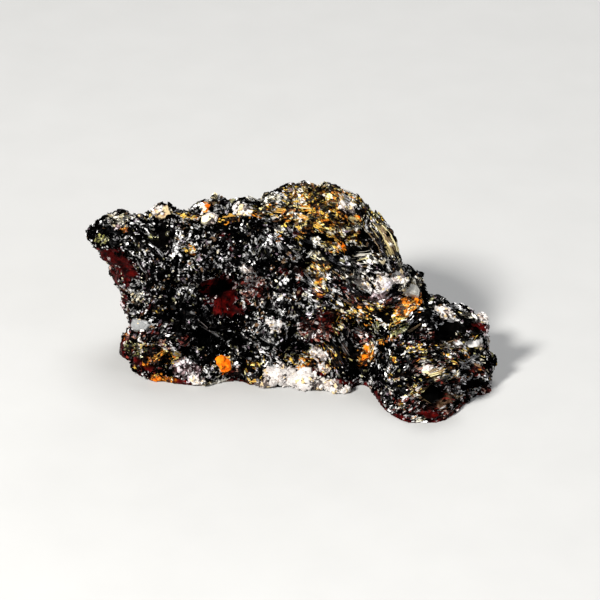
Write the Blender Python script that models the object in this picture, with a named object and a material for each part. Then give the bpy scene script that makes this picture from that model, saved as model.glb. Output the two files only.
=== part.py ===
"""Specular hematite: one hand specimen of platy, folded iron ore that rests on a flat cut.

The stone is lofted from cross-sections that stand across its length. Each section is a closed
spline through its front foot, belly, brow, crest, shoulder and back foot. Hollows and lumps are
pushed into the loft, and ledges and flat chips roughen it. Flat-faced crystals are then joined
to it, and everything below the floor is cut away. Metres, +Z up, +X along the length, the
viewer's side at -Y, origin at the middle of the base.
"""

from typing import NamedTuple

import bmesh
import bpy
import numpy as np
from mathutils import Matrix, Vector
from mathutils.bvhtree import BVHTree

LENGTH = 0.100  # the specimen's drawn length, which everything below is scaled from
MM = LENGTH / 100.0  # one drawn millimetre

NODE = "hematite_specimen"
UNDER = -5.0  # how far each section runs on below the floor before it is cut, drawn mm
ROOT_INSET = 1.5  # how far that buried root stands inside the feet, drawn mm

RINGS = 76  # sections in the finished loft
SPAN_STEPS = (2, 8, 10, 8, 8, 16, 2, 2)  # points on each span of a section, from its front root on
CAP = 5.0  # length over which each end closes to an upright edge, drawn mm
CAP_RINGS = 6  # rings that round off each end
CAP_SQUARENESS = 2.3  # power of the end's outline: 2 is round, more is squarer
CAP_DROP = 0.16  # share of its height that the stone loses on the way to each end's edge


class Section(NamedTuple):
    """One cross-section in drawn millimetres: x along the length, then (y, z) of its corners."""

    x: float
    foot: float
    belly: tuple[float, float]
    brow: tuple[float, float]
    crest: tuple[float, float]
    shoulder: tuple[float, float]
    heel: float


SECTIONS = (
    Section(-39.0, 28.5, (27.5, 17.0), (29.5, 33.8), (37.0, 36.0), (44.0, 28.0), 45.5),
    Section(-36.5, 22.5, (23.0, 18.0), (27.5, 36.5), (38.0, 37.4), (46.0, 29.5), 48.0),
    Section(-31.0, 18.5, (20.0, 19.0), (24.0, 38.3), (38.5, 38.6), (47.5, 30.0), 50.0),
    Section(-22.0, 17.0, (18.5, 20.0), (23.0, 39.5), (38.5, 40.0), (48.5, 31.0), 51.0),
    Section(-13.0, 18.8, (18.5, 20.0), (23.0, 41.0), (38.0, 42.2), (49.0, 32.5), 51.5),
    Section(-4.0, 17.6, (18.0, 20.0), (22.0, 42.5), (37.0, 45.6), (49.0, 34.0), 51.5),
    Section(5.0, 16.4, (17.5, 20.0), (20.5, 42.0), (35.0, 48.4), (48.0, 35.5), 51.0),
    Section(13.0, 15.0, (17.0, 19.0), (20.0, 38.0), (33.0, 46.6), (47.0, 34.5), 50.0),
    Section(18.0, 17.0, (16.0, 17.0), (19.0, 33.0), (32.0, 42.6), (46.0, 30.0), 49.0),
    Section(21.5, 7.0, (10.0, 15.0), (17.0, 28.5), (31.0, 38.4), (45.0, 26.0), 48.0),
    Section(26.0, 2.0, (5.5, 14.0), (14.0, 23.5), (29.0, 29.2), (43.0, 21.0), 46.5),
    Section(31.0, 0.0, (3.0, 11.5), (11.0, 19.5), (26.5, 25.6), (41.0, 16.5), 45.0),
    Section(36.5, 1.6, (4.0, 10.5), (10.0, 18.0), (23.0, 20.6), (37.0, 12.0), 41.5),
    Section(42.0, 7.6, (7.5, 8.5), (12.5, 17.0), (22.5, 21.0), (34.5, 12.0), 38.0),
    Section(45.5, 12.0, (12.0, 7.0), (16.0, 13.5), (22.5, 18.0), (31.0, 9.5), 33.5),
)


class Push(NamedTuple):
    """A soft push on the surface, in drawn millimetres: where, how wide and which way."""

    name: str
    centre: tuple[float, float, float]
    radii: tuple[float, float, float]
    by: tuple[float, float, float]


HOLLOWS = (
    Push("pit under the brow", (-31.0, 21.0, 35.0), (4.6, 8.0, 5.0), (0.0, 4.2, -0.6)),
    Push("red hollow", (-18.5, 18.5, 25.5), (5.4, 8.0, 5.6), (0.0, 5.2, 0.4)),
    Push("hollow beside it", (-9.0, 18.5, 27.0), (4.6, 7.0, 4.6), (0.0, 2.2, 0.0)),
    Push("dark floor of the face", (-17.0, 17.5, 13.0), (9.0, 8.0, 5.0), (0.0, 2.4, 0.0)),
    Push("hollow in the folds", (13.5, 21.5, 38.0), (4.6, 8.0, 3.8), (-0.8, 3.4, -0.6)),
    Push("brown hollow", (7.0, 16.5, 17.0), (4.4, 7.0, 4.8), (0.0, 2.4, 0.0)),
    Push("round pit", (25.0, 13.0, 26.5), (3.0, 5.0, 3.0), (-0.6, 2.6, -0.8)),
    Push("cleft behind the lobe", (30.5, 12.5, 17.5), (3.2, 7.0, 6.4), (-1.2, 2.6, -2.0)),
    Push("dark hollow of the lobe", (36.0, 8.0, 15.5), (4.6, 6.0, 4.0), (0.0, 2.8, -1.2)),
    Push("undercut of the lobe", (40.0, 6.0, 6.0), (8.0, 5.0, 2.6), (-0.6, 3.0, 0.4)),
    Push("notch at the lobe's root", (19.5, 12.5, 3.0), (3.0, 7.0, 8.0), (-0.6, 3.4, 0.0)),
    Push("bite in the left end", (-44.5, 30.0, 23.0), (6.0, 8.0, 5.0), (1.6, 1.4, 0.0)),
    Push("bay in the back", (-14.0, 50.5, 17.0), (11.0, 8.0, 8.0), (0.0, -4.0, 0.0)),
    Push("shelf over the bay", (-20.0, 49.5, 28.0), (15.0, 6.0, 3.4), (0.0, 1.8, 0.0)),
    Push("pit in the back", (10.0, 49.0, 27.0), (6.0, 8.0, 5.0), (0.0, -3.4, 0.0)),
    Push("bite behind the lobe", (30.0, 43.5, 11.0), (7.0, 7.0, 6.0), (0.0, -3.4, 0.0)),
    Push("bay beside the white crust", (-17.5, 18.0, 1.0), (6.0, 5.0, 4.0), (0.0, 2.0, 0.0)),
    Push("dip in the top", (-24.0, 32.0, 41.0), (8.0, 5.0, 5.0), (0.0, 0.0, -1.8)),
)

LUMPS = (
    Push("lean of the left end", (-43.0, 37.0, 35.0), (14.0, 18.0, 17.0), (-5.6, 0.0, 1.0)),
    Push("spur at the top left", (-48.0, 35.0, 34.5), (5.0, 5.0, 4.5), (-2.0, 0.0, 0.0)),
    Push("blob on the brow", (-31.0, 28.0, 41.0), (3.6, 4.0, 3.4), (0.0, -0.4, 1.6)),
    Push("knob on the crest", (-20.5, 34.0, 42.0), (3.0, 4.0, 3.0), (0.0, 0.0, 1.8)),
    Push("white knot on the brow", (-11.5, 24.5, 42.0), (3.0, 4.0, 3.0), (0.0, -1.4, 1.0)),
    Push("knob of the fold", (1.5, 33.0, 48.0), (3.4, 4.0, 3.4), (0.0, 0.0, 1.4)),
    Push("white crust at the foot", (2.0, 15.5, 1.5), (12.5, 5.0, 4.5), (0.0, -2.4, 0.0)),
    Push("orange lump", (-17.0, 17.0, 6.6), (2.4, 4.0, 2.4), (0.0, -1.8, 0.0)),
    Push("end of the white crust", (-8.6, 17.0, 1.5), (4.5, 5.0, 4.5), (0.0, -2.4, 0.0)),
    Push("tip of the lobe", (47.0, 21.0, 7.0), (6.0, 8.0, 7.0), (2.0, 0.0, -0.6)),
    Push("left foot", (-36.0, 23.0, 6.0), (5.0, 6.0, 5.0), (-0.8, -1.4, 0.0)),
    Push("brow of the lobe", (34.0, 12.0, 20.0), (5.0, 5.0, 3.0), (0.0, -1.0, 1.4)),
    Push("lip of the lobe", (37.0, 4.0, 9.0), (7.0, 4.0, 1.8), (0.0, -1.4, 0.0)),
    Push("shoulder over the lobe", (28.0, 22.0, 29.0), (4.0, 5.0, 3.6), (0.4, -0.6, 1.2)),
)


class Fold(NamedTuple):
    """A packet of parallel ledges, in drawn mm.

    centre and reach are its ellipsoid, across is the way over the ledges, bend curves them along
    the length, pitch is from one ledge to the next and height is how far each steps out.
    """

    centre: tuple[float, float, float]
    reach: tuple[float, float, float]
    across: tuple[float, float, float]
    bend: float
    pitch: float
    height: float


LEDGE_RISE = 0.75  # share of the pitch over which a ledge rises before it drops
FOLDS = (
    Fold((6.0, 27.0, 44.0), (19.0, 15.0, 9.0), (0.30, -0.45, 0.85), 0.014, 5.2, 1.3),
    Fold((22.0, 24.0, 33.0), (9.0, 13.0, 12.0), (0.80, -0.15, 0.55), 0.010, 4.8, 1.3),
    Fold((37.0, 8.0, 9.0), (13.0, 10.0, 9.0), (0.10, -0.25, 0.95), 0.012, 5.0, 1.2),
    Fold((-39.0, 28.0, 24.0), (10.0, 10.0, 15.0), (0.75, -0.10, 0.65), 0.010, 5.4, 0.9),
    Fold((4.0, 49.0, 22.0), (30.0, 10.0, 20.0), (0.35, 0.20, 0.90), 0.008, 6.4, 1.2),
)


class Chips(NamedTuple):
    """Overlapping flat chips, drawn mm: one to each cell of space, lifted and tipped its own way.

    Past its flat face a chip falls away as droop times the square of the distance.
    """

    cell: float
    lift: float
    tilt: float
    droop: float
    salt: int


CHIPS = (
    Chips(cell=9.0, lift=2.4, tilt=0.50, droop=1.8, salt=3),
    Chips(cell=4.6, lift=1.7, tilt=0.60, droop=2.6, salt=8),
)
CHIP_RADIUS = 0.36  # radius of each chip's flat face, in cells
SWELL = 14.0  # size of the slow swells that keep any face from lying flat, drawn mm
SWELL_HEIGHT = 1.0
SWELL_SALT = 1
SPINE_INSET = 9.0  # how far inside each end the stone's spine stops, drawn mm
UNDERCUT = 0.25  # how much the relief points down on the faces below the spine
SHUFFLE = 0.30  # how far a vertex may slide along the surface, in shares of the grid's spacing
SHUFFLE_SALTS = (21, 22)  # along the length, and round the ring
RIM_FADE = 3.0  # height over which the relief comes in above the cut base, drawn mm
RIM_RELIEF = 0.3  # share of the relief at the base itself


class Crystal(NamedTuple):
    """A flat-faced crystal or plate grown into the stone, in drawn mm.

    It is seated on the stone's surface nearest to near, lies along its own direction, stands
    proud by that much, and faces straight out of the surface unless facing says otherwise.
    """

    name: str
    near: tuple[float, float, float]
    size: tuple[float, float, float]
    along: tuple[float, float, float]
    proud: float
    facing: tuple[float, float, float] | None = None


CRYSTALS = (
    Crystal("cream block on the brow", (-32.6, 40.0, 41.0), (5.6, 4.0, 4.0), (1, 0.3, 0), 1.2),
    Crystal("knob on the crest", (-20.4, 39.0, 44.0), (3.0, 3.0, 5.0), (1, -1, 0), 2.2),
    Crystal("white twin, left", (-14.4, 30.0, 45.0), (3.4, 3.0, 4.4), (1, 0.4, 0), 1.2),
    Crystal("white twin, right", (-10.4, 30.6, 45.0), (2.8, 3.2, 4.4), (1, -0.5, 0), 1.4),
    Crystal("plate on the crest", (-5.4, 36.6, 46.0), (8.4, 4.0, 2.4), (1, 0, 0), 0.8),
    Crystal("blade on the slope", (24.0, 27.0, 36.0), (12.0, 2.6, 3.0), (0.45, -0.6, -0.66), 1.0),
    Crystal("second blade", (19.8, 22.5, 36.0), (9.0, 2.2, 3.0), (0.45, -0.6, -0.66), 0.9),
    Crystal("slab of the fold", (8.4, 20.0, 37.0), (10.0, 3.0, 3.4), (0.88, -0.3, -0.36), 0.8),
    Crystal("streak across the slope", (19.6, 20.0, 31.5), (9.0, 2.2, 3.0), (1, 0.1, -0.1), 0.8),
    Crystal("white plate, left", (-38.2, 28.0, 11.0), (4.4, 2.8, 2.6), (0.6, -0.8, 0.1), 0.9),
    Crystal("white plate, middle", (-6.8, 16.0, 17.2), (3.4, 3.0, 2.4), (1, 0, -0.4), 0.8),
    Crystal("pink block at the foot", (-28.0, 16.0, 4.2), (6.8, 4.2, 4.0), (1, 0, -0.1), 0.9),
    Crystal("white crust, left", (-5.8, 16.0, 3.0), (8.0, 4.6, 4.0), (1, 0, 0.1), 0.9),
    Crystal("white crust, middle", (3.4, 15.0, 2.2), (7.6, 3.8, 4.0), (1, 0, -0.1), 0.8),
    Crystal("white crust, right", (11.4, 14.0, 2.0), (6.4, 3.4, 4.0), (1, 0.1, 0.1), 0.8),
    Crystal("pink block on the slope", (20.8, 15.5, 28.4), (3.4, 3.2, 3.4), (1, 0, 0.3), 1.0),
    Crystal("grey block on the slope", (27.0, 18.5, 28.4), (5.4, 3.8, 4.0), (1, 0.2, -0.3), 1.2),
    Crystal("white block of the lobe", (37.8, 17.4, 20.4), (4.6, 3.2, 3.6), (1, 0.4, -0.3), 1.0),
    Crystal("white plate of the lobe", (45.6, 16.0, 14.4), (3.0, 2.0, 2.4), (1, 0.2, 0), 0.8),
    Crystal("ledge of the lobe", (35.6, 4.0, 12.4), (12.0, 5.0, 1.7), (1, 0.5, 0), 0.2, (0, -0.3, 1)),
    Crystal("ledge below it", (38.4, 4.6, 8.6), (9.0, 4.6, 1.5), (1, 0.6, 0), 0.2, (0, -0.3, 1)),
)
PLATE_OUTLINE = ((-1.0, -0.35), (-0.7, -1.0), (0.75, -1.0), (1.0, 0.2), (0.65, 1.0), (-0.8, 0.9))
PLATE_TAPER = 0.84  # size of a crystal's outer face against its root

COLOUR = (0.045, 0.043, 0.047, 1.0)  # near-black steel
METALLIC = 0.85
ROUGHNESS = 0.35


def hashed(cells, salt):
    """A repeatable random number from 0 to 1 for each row of whole-number cells."""
    primes = np.array([73856093, 19349663, 83492791], np.uint32)
    mixed = (cells.astype(np.int64).astype(np.uint32) * primes).sum(axis=-1, dtype=np.uint32)
    mixed = mixed + np.uint32(salt * 374761393 % 2**32)
    for shift, factor in ((16, 0x85EBCA6B), (13, 0xC2B2AE35), (16, 1)):
        mixed = (mixed ^ (mixed >> np.uint32(shift))) * np.uint32(factor)
    return mixed / 2.0**32


def swell(points, size, salt):
    """Smooth noise from -1 to 1: random numbers on a lattice of this size, blended between them."""
    lattice = points / size
    low = np.floor(lattice).astype(np.int64)
    share = lattice - low
    share = share * share * (3.0 - 2.0 * share)
    total = np.zeros(len(points))
    for corner in np.ndindex(2, 2, 2):
        weight = np.prod(np.where(np.array(corner) == 1, share, 1.0 - share), axis=1)
        total += weight * hashed(low + np.array(corner), salt)
    return 2.0 * total - 1.0


def chipped(points, chips):
    """How far each point moves out: the highest of the tipped chips round about it."""
    cells = np.floor(points / chips.cell).astype(np.int64)
    height = np.full(len(points), -np.inf)
    for offset in np.ndindex(3, 3, 3):
        cell = cells + np.array(offset) - 1
        place = np.stack([hashed(cell, chips.salt + axis) for axis in range(3)], axis=1)
        slope = np.stack([hashed(cell, chips.salt + axis) for axis in (3, 4, 5)], axis=1) - 0.5
        away = points - (cell + place) * chips.cell
        past_edge = np.maximum(np.linalg.norm(away, axis=1) / chips.cell - CHIP_RADIUS, 0.0)
        chip = chips.lift * hashed(cell, chips.salt + 6)
        chip += 2.0 * chips.tilt * (away * slope).sum(axis=1)
        chip -= chips.droop * chips.cell * past_edge**2
        height = np.maximum(height, chip)
    return height - chips.lift


def spline(knots, values, at):
    """A smooth curve through rows of values at rising knots, read at each place in at."""
    slopes = np.gradient(values, knots, axis=0)
    index = np.clip(np.searchsorted(knots, at, side="right") - 1, 0, len(knots) - 2)
    width = (knots[index + 1] - knots[index])[:, None]
    t = ((at - knots[index]) / width[:, 0])[:, None]
    start, end = values[index], values[index + 1]
    rise, fall = slopes[index] * width, slopes[index + 1] * width
    return (
        (2 * t**3 - 3 * t**2 + 1) * start
        + (t**3 - 2 * t**2 + t) * rise
        + (3 * t**2 - 2 * t**3) * end
        + (t**3 - t**2) * fall
    )


def corners_of(section):
    """The (y, z) corners of one section in order, closed under the floor by its two roots."""
    front_root = (section.foot + ROOT_INSET, UNDER)
    back_root = (section.heel - ROOT_INSET, UNDER)
    front = [front_root, (section.foot, 0.0), section.belly, section.brow, section.crest]
    return front + [section.shoulder, (section.heel, 0.0), back_root]


def round_the_section(corners):
    """One closed ring of (y, z) points through the corners, SPAN_STEPS points to each span."""
    count = len(corners)
    around = np.concatenate([corners[-2:], corners, corners[:3]])
    knots = np.arange(-2, count + 3, dtype=float)
    steps = [k + np.arange(n) / n for k, n in enumerate(SPAN_STEPS)]
    return spline(knots, around, np.concatenate(steps))


def ring_places():
    """Where each ring reads the sections, where it stands, and how open it is, from 0 to 1."""
    first, last = SECTIONS[0].x, SECTIONS[-1].x
    turn = (np.arange(CAP_RINGS) + 0.5) / CAP_RINGS * np.pi / 2.0
    closing = np.sin(turn) ** (2.0 / CAP_SQUARENESS)
    reach = CAP * np.cos(turn) ** (2.0 / CAP_SQUARENESS)
    between = np.linspace(first, last, RINGS - 2 * CAP_RINGS)
    middle = np.concatenate([np.full(CAP_RINGS, first), between, np.full(CAP_RINGS, last)])
    places = np.concatenate([first - reach, between, last + reach[::-1]])
    opening = np.concatenate([closing, np.ones(len(between)), closing[::-1]])
    return middle, places, opening


def loft():
    """The smooth stone as rings of points, drawn mm: an array of rings by points by x, y, z."""
    knots = np.array([section.x for section in SECTIONS])
    corners = np.array([corners_of(section) for section in SECTIONS])
    middle, places, opening = ring_places()
    drawn = spline(knots, corners.reshape(len(knots), -1), middle).reshape(RINGS, -1, 2)
    rings = np.array([round_the_section(one) for one in drawn])
    x = np.repeat(places[:, None], rings.shape[1], axis=1)
    hub = rings[:, :, 0].mean(axis=1, keepdims=True)
    y = hub + (rings[:, :, 0] - hub) * opening[:, None]
    z = rings[:, :, 1] * (1.0 - CAP_DROP * (1.0 - opening[:, None]))
    return np.stack([x, y, z], axis=2)


def pushed(points, push):
    """Points moved by one push, which fades to nothing at the edge of its ellipsoid."""
    away = (points - np.array(push.centre)) / np.array(push.radii)
    fade = np.clip(1.0 - (away**2).sum(axis=1), 0.0, 1.0) ** 1.5
    return points + fade[:, None] * np.array(push.by)


def ledges(points, fold):
    """Height of one packet of ledges: each rises slowly and drops sharply to the next."""
    away = points - np.array(fold.centre)
    fade = np.clip(1.0 - ((away / np.array(fold.reach)) ** 2).sum(axis=1), 0.0, 1.0)
    across = np.array(fold.across) / np.linalg.norm(fold.across)
    phase = (away @ across + fold.bend * away[:, 0] ** 2) / fold.pitch
    rise = phase - np.floor(phase)
    saw = np.minimum(rise / LEDGE_RISE, (1.0 - rise) / (1.0 - LEDGE_RISE))
    return fold.height * (2.0 * saw - 1.0) * np.minimum(1.0, 2.0 * fade)


def outward(points):
    """Unit vectors that point away from the stone's spine, which stops short of both ends."""
    knots = np.array([section.x for section in SECTIONS])
    middles = np.array([np.mean(corners_of(section)[1:-1], axis=0) for section in SECTIONS])
    x = np.clip(points[:, 0], knots[0] + SPINE_INSET, knots[-1] - SPINE_INSET)
    spine = np.column_stack([x, spline(knots, middles, x)])
    away = points - spine
    away[:, 2] = np.maximum(away[:, 2], UNDERCUT * away[:, 2])
    return away / np.linalg.norm(away, axis=1, keepdims=True)


def relief(points):
    """The rough surface: swells, ledges and chips that stand out from the spine."""
    height = SWELL_HEIGHT * swell(points, SWELL, SWELL_SALT)
    for fold in FOLDS:
        height += ledges(points, fold)
    for chips in CHIPS:
        height += chipped(points, chips)
    above = np.clip(points[:, 2] / RIM_FADE, RIM_RELIEF, 1.0)
    return points + outward(points) * (height * above)[:, None]


def shuffled(rings):
    """Rings of points slid a little along the length and round the ring, so that no rows show."""
    count_around = rings.shape[1]
    along = np.gradient(rings, axis=0)
    around = (np.roll(rings, -1, axis=1) - np.roll(rings, 1, axis=1)) / 2.0
    ring = np.arange(RINGS)
    cells = np.stack(np.meshgrid(ring, np.arange(count_around), [0], indexing="ij"), axis=-1)
    cells = cells.reshape(RINGS, count_around, 3)
    from_end = np.minimum(ring, ring[::-1])
    freedom = SHUFFLE * np.clip(from_end / CAP_RINGS - 0.5, 0.0, 1.0)[:, None]
    slide_along, slide_around = [(2.0 * hashed(cells, salt) - 1.0) * freedom for salt in SHUFFLE_SALTS]
    return rings + along * slide_along[:, :, None] + around * slide_around[:, :, None]


def faces_of(count_around):
    """The quads between neighbouring rings, and the ladder of quads that closes each end."""
    ring = np.arange(count_around)
    after = np.roll(ring, -1)
    faces = []
    for k in range(RINGS - 1):
        here, there = k * count_around, (k + 1) * count_around
        faces += np.stack([here + ring, there + ring, there + after, here + after], axis=1).tolist()
    rung = np.arange(1, count_around // 2 - 1)
    ladder = np.stack([rung, rung + 1, count_around - rung - 1, count_around - rung], axis=1).tolist()
    ladder += [[0, 1, count_around - 1], [rung[-1] + 1, rung[-1] + 2, rung[-1] + 3]]
    last = (RINGS - 1) * count_around
    faces += [list(face) for face in ladder]
    faces += [[last + corner for corner in reversed(face)] for face in ladder]
    return faces


def seat(crystal, surface):
    """Where a crystal's middle lies, and its turn, on the nearest place of the surface."""
    place, out, _, _ = surface.find_nearest(Vector(crystal.near))
    facing = Vector(crystal.facing or out).normalized()
    across = facing.cross(Vector(crystal.along)).normalized()
    turn = Matrix((across.cross(facing), across, facing)).transposed()
    depth = 0.0 if crystal.facing else crystal.size[2] / 2.0
    return place + out * (crystal.proud - depth), turn


def add_plate(bm, size, place, turn):
    """Adds one closed plate: an uneven hexagon that narrows towards its outer face."""
    half = Vector(size) / 2.0
    layers = []
    for side, share in ((-1.0, 1.0), (1.0, PLATE_TAPER)):
        spots = [Vector((x * share * half.x, y * share * half.y, side * half.z)) for x, y in PLATE_OUTLINE]
        layers.append([bm.verts.new(place + turn @ spot) for spot in spots])
    root, top = layers
    bm.faces.new(top)
    bm.faces.new(reversed(root))
    for k in range(len(top)):
        bm.faces.new((root[k - 1], root[k], top[k], top[k - 1]))


def crystal_bodies(stone):
    """All the crystals as one mesh of closed plates, seated on the stone, in drawn mm."""
    surface = BVHTree.FromBMesh(stone)
    mesh = bpy.data.meshes.new("crystals")
    bm = bmesh.new()
    for crystal in CRYSTALS:
        place, turn = seat(crystal, surface)
        add_plate(bm, crystal.size, place, turn)
    bm.to_mesh(mesh)
    bm.free()
    return mesh


def floor_block():
    """A block whose top is the floor, z = 0, for cutting the stone off flat."""
    mesh = bpy.data.meshes.new("below_floor")
    bm = bmesh.new()
    bmesh.ops.create_cube(bm, size=3.0 * LENGTH)
    bmesh.ops.translate(bm, verts=bm.verts, vec=(0.0, 0.0, -1.5 * LENGTH))
    bm.to_mesh(mesh)
    bm.free()
    return mesh


def add_boolean(target, mesh, operation, overlapping=False):
    """Joins or cuts the target with a hidden guide made from the mesh."""
    guide = bpy.data.objects.new(mesh.name, mesh)
    guide.hide_render = True
    guide.display_type = "WIRE"
    bpy.context.scene.collection.objects.link(guide)
    modifier = target.modifiers.new(mesh.name, "BOOLEAN")
    modifier.operation = operation
    modifier.solver = "EXACT"
    modifier.use_self = overlapping
    modifier.object = guide


def ore_material():
    """The near-black, steely lustre of specular hematite."""
    material = bpy.data.materials.new("specular_hematite")
    material.use_nodes = True
    shader = material.node_tree.nodes["Principled BSDF"]
    shader.inputs["Base Color"].default_value = COLOUR
    shader.inputs["Metallic"].default_value = METALLIC
    shader.inputs["Roughness"].default_value = ROUGHNESS
    return material


def stone_points():
    """The stone's points in drawn mm, ring by ring."""
    points = shuffled(loft()).reshape(-1, 3)
    for push in HOLLOWS + LUMPS:
        points = pushed(points, push)
    return relief(points)


def centring(points):
    """The move, in drawn mm, that puts the origin at the middle of the box of what stands."""
    standing = points[points[:, 2] >= 0.0]
    middle = (standing.min(axis=0) + standing.max(axis=0)) / 2.0
    return Vector((-middle[0], -middle[1], 0.0))


def build_specimen():
    """The one solid: a closed, faceted stone with its crystals and a flat base at z = 0."""
    points = stone_points()
    to_metres = Matrix.Scale(MM, 4) @ Matrix.Translation(centring(points))
    mesh = bpy.data.meshes.new(NODE)
    mesh.from_pydata(points.tolist(), [], faces_of(sum(SPAN_STEPS)))
    bm = bmesh.new()
    bm.from_mesh(mesh)
    bmesh.ops.triangulate(bm, faces=bm.faces[:])
    crystals = crystal_bodies(bm)
    bm.to_mesh(mesh)
    bm.free()
    for drawn in (mesh, crystals):
        drawn.transform(to_metres)
    mesh.materials.append(ore_material())
    specimen = bpy.data.objects.new(NODE, mesh)
    bpy.context.scene.collection.objects.link(specimen)
    add_boolean(specimen, crystals, "UNION", overlapping=True)
    add_boolean(specimen, floor_block(), "DIFFERENCE")
    return specimen


for leftover in list(bpy.data.objects):
    bpy.data.objects.remove(leftover)
build_specimen()
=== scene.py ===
"""A specular hematite hand specimen: a rough stone under its flakes, blades, grains and crystals.

The stone is a fine skin laid over the CAD solid, and every other piece is rooted in that skin.
What each place looks like comes from named patches of the surface: black flaky ore, ochre
stain, dark red earth, white and pink quartz, pits. Patches are placed by view points, counted
right and down over a front view of 600 by 600, and take hold of the surface that the view meets
there. Lengths are millimetres unless a name says otherwise, and become metres when a mesh is laid.
"""

import logging
import math
from dataclasses import dataclass, field, replace
from enum import IntEnum
from typing import NamedTuple

import bmesh
import bpy
import numpy as np
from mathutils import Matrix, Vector
from mathutils.bvhtree import BVHTree


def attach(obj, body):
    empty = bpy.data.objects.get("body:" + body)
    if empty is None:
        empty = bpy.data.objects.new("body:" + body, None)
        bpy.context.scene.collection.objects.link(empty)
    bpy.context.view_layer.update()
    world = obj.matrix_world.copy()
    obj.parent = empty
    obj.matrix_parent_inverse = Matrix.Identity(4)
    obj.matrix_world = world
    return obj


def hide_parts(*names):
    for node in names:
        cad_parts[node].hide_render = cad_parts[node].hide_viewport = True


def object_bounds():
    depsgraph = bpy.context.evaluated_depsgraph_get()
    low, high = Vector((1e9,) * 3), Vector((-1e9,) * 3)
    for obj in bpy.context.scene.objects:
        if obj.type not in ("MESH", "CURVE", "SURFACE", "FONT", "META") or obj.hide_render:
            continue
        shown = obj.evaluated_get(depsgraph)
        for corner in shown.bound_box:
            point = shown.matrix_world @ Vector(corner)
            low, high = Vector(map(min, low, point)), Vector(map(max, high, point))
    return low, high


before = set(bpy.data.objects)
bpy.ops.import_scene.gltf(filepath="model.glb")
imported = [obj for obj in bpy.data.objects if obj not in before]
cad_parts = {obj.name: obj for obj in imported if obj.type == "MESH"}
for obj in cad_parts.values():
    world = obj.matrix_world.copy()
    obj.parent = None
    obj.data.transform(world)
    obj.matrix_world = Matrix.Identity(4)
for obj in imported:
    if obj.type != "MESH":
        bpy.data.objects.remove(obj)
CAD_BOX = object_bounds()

Array = np.ndarray
Rgb = tuple[float, float, float]
Span = tuple[float, float]
Place = tuple[float, float, float]
Row = tuple[float, ...]
Rng = np.random.Generator
Piece = bpy.types.Object
Material = bpy.types.Material
Tree = bpy.types.NodeTree
Node = bpy.types.Node
Socket = bpy.types.NodeSocket
Items = bpy.types.bpy_prop_collection

MM = 0.001
NODE = "hematite_specimen"
BODY = "root"
BAKE_MAP = "OFBake"
SPARE = 0.025  # share of the box's sides that flakes may stand past it
FLOOR_GAP = 0.02  # lowest that a loose piece reaches

log = logging.getLogger("specimen")


# ---- noise


def hashed(cells: Array, salt: int) -> Array:
    """Gives every lattice cell a fixed number from 0 to 1.

    The cell's three whole numbers are multiplied by large primes and added, and the sum is
    scrambled by shifts, exclusive-ors and products.

    Args:
        cells: whole-number cells, their three coordinates last.
        salt: picks one of many unrelated sets of numbers.

    Returns:
        One number for each cell.
    """
    primes = np.array([73856093, 19349663, 83492791], np.uint32)
    mixed = (cells.astype(np.int64).astype(np.uint32) * primes).sum(axis=-1, dtype=np.uint32)
    mixed = mixed + np.uint32(salt * 374761393 % 2**32)
    for shift, factor in ((16, 0x85EBCA6B), (13, 0xC2B2AE35), (16, 1)):
        mixed = (mixed ^ (mixed >> np.uint32(shift))) * np.uint32(factor)
    return mixed / 2.0**32


def swell(points: Array, size: float, salt: int) -> Array:
    """Smooth noise from -1 to 1.

    The points are divided by the size, and the hashed numbers of the eight cell corners round
    each are blended by the smooth step 3t^2 - 2t^3 along each axis.

    Args:
        points: places, one a row.
        size: distance between the noise's knots.
        salt: picks the pattern.

    Returns:
        One value for each place.
    """
    lattice = points / size
    low = np.floor(lattice).astype(np.int64)
    share = lattice - low
    share = share * share * (3.0 - 2.0 * share)
    total = np.zeros(len(points))
    for corner in np.ndindex(2, 2, 2):
        weight = np.prod(np.where(np.array(corner) == 1, share, 1.0 - share), axis=1)
        total += weight * hashed(low + np.array(corner), salt)
    return 2.0 * total - 1.0


@dataclass(frozen=True)
class Chips:
    """Overlapping flat chips, one to a cell of space, each lifted and tipped its own way."""

    cell: float
    lift: float
    tip: float
    droop: float
    salt: int

    def height(self, points: Array) -> Array:
        """Works out how far each place stands out, as the highest of the chips round it.

        A chip's height is its own random lift, plus its slope times the distance along it,
        minus droop times the square of the distance past 0.4 of a cell from its middle.

        Args:
            points: places, one a row.

        Returns:
            Heights, about zero in the mean.
        """
        cells = np.floor(points / self.cell).astype(np.int64)
        top = np.full(len(points), -np.inf)
        for offset in np.ndindex(3, 3, 3):
            cell = cells + np.array(offset) - 1
            middle = np.stack([hashed(cell, self.salt + axis) for axis in range(3)], axis=1)
            slope = np.stack([hashed(cell, self.salt + axis) for axis in (3, 4, 5)], axis=1) - 0.5
            away = points - (cell + middle) * self.cell
            past = np.maximum(sizes(away) / self.cell - 0.4, 0.0)
            chip = self.lift * hashed(cell, self.salt + 6)
            chip += 2.0 * self.tip * (away * slope).sum(axis=1)
            top = np.maximum(top, chip - self.droop * self.cell * past**2)
        return top - 0.8 * self.lift


def sizes(vectors: Array) -> Array:
    """Gives the length of each row."""
    return np.linalg.norm(vectors, axis=-1)


def unit(vectors: Array) -> Array:
    """Divides each row by its own length."""
    return vectors / np.maximum(np.linalg.norm(vectors, axis=-1, keepdims=True), 1e-12)


def smooth_step(values: Array, low: float, high: float) -> Array:
    """Rises from 0 at low to 1 at high along 3t^2 - 2t^3."""
    t = np.clip((values - low) / (high - low), 0.0, 1.0)
    return t * t * (3.0 - 2.0 * t)


# ---- the front view


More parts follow.
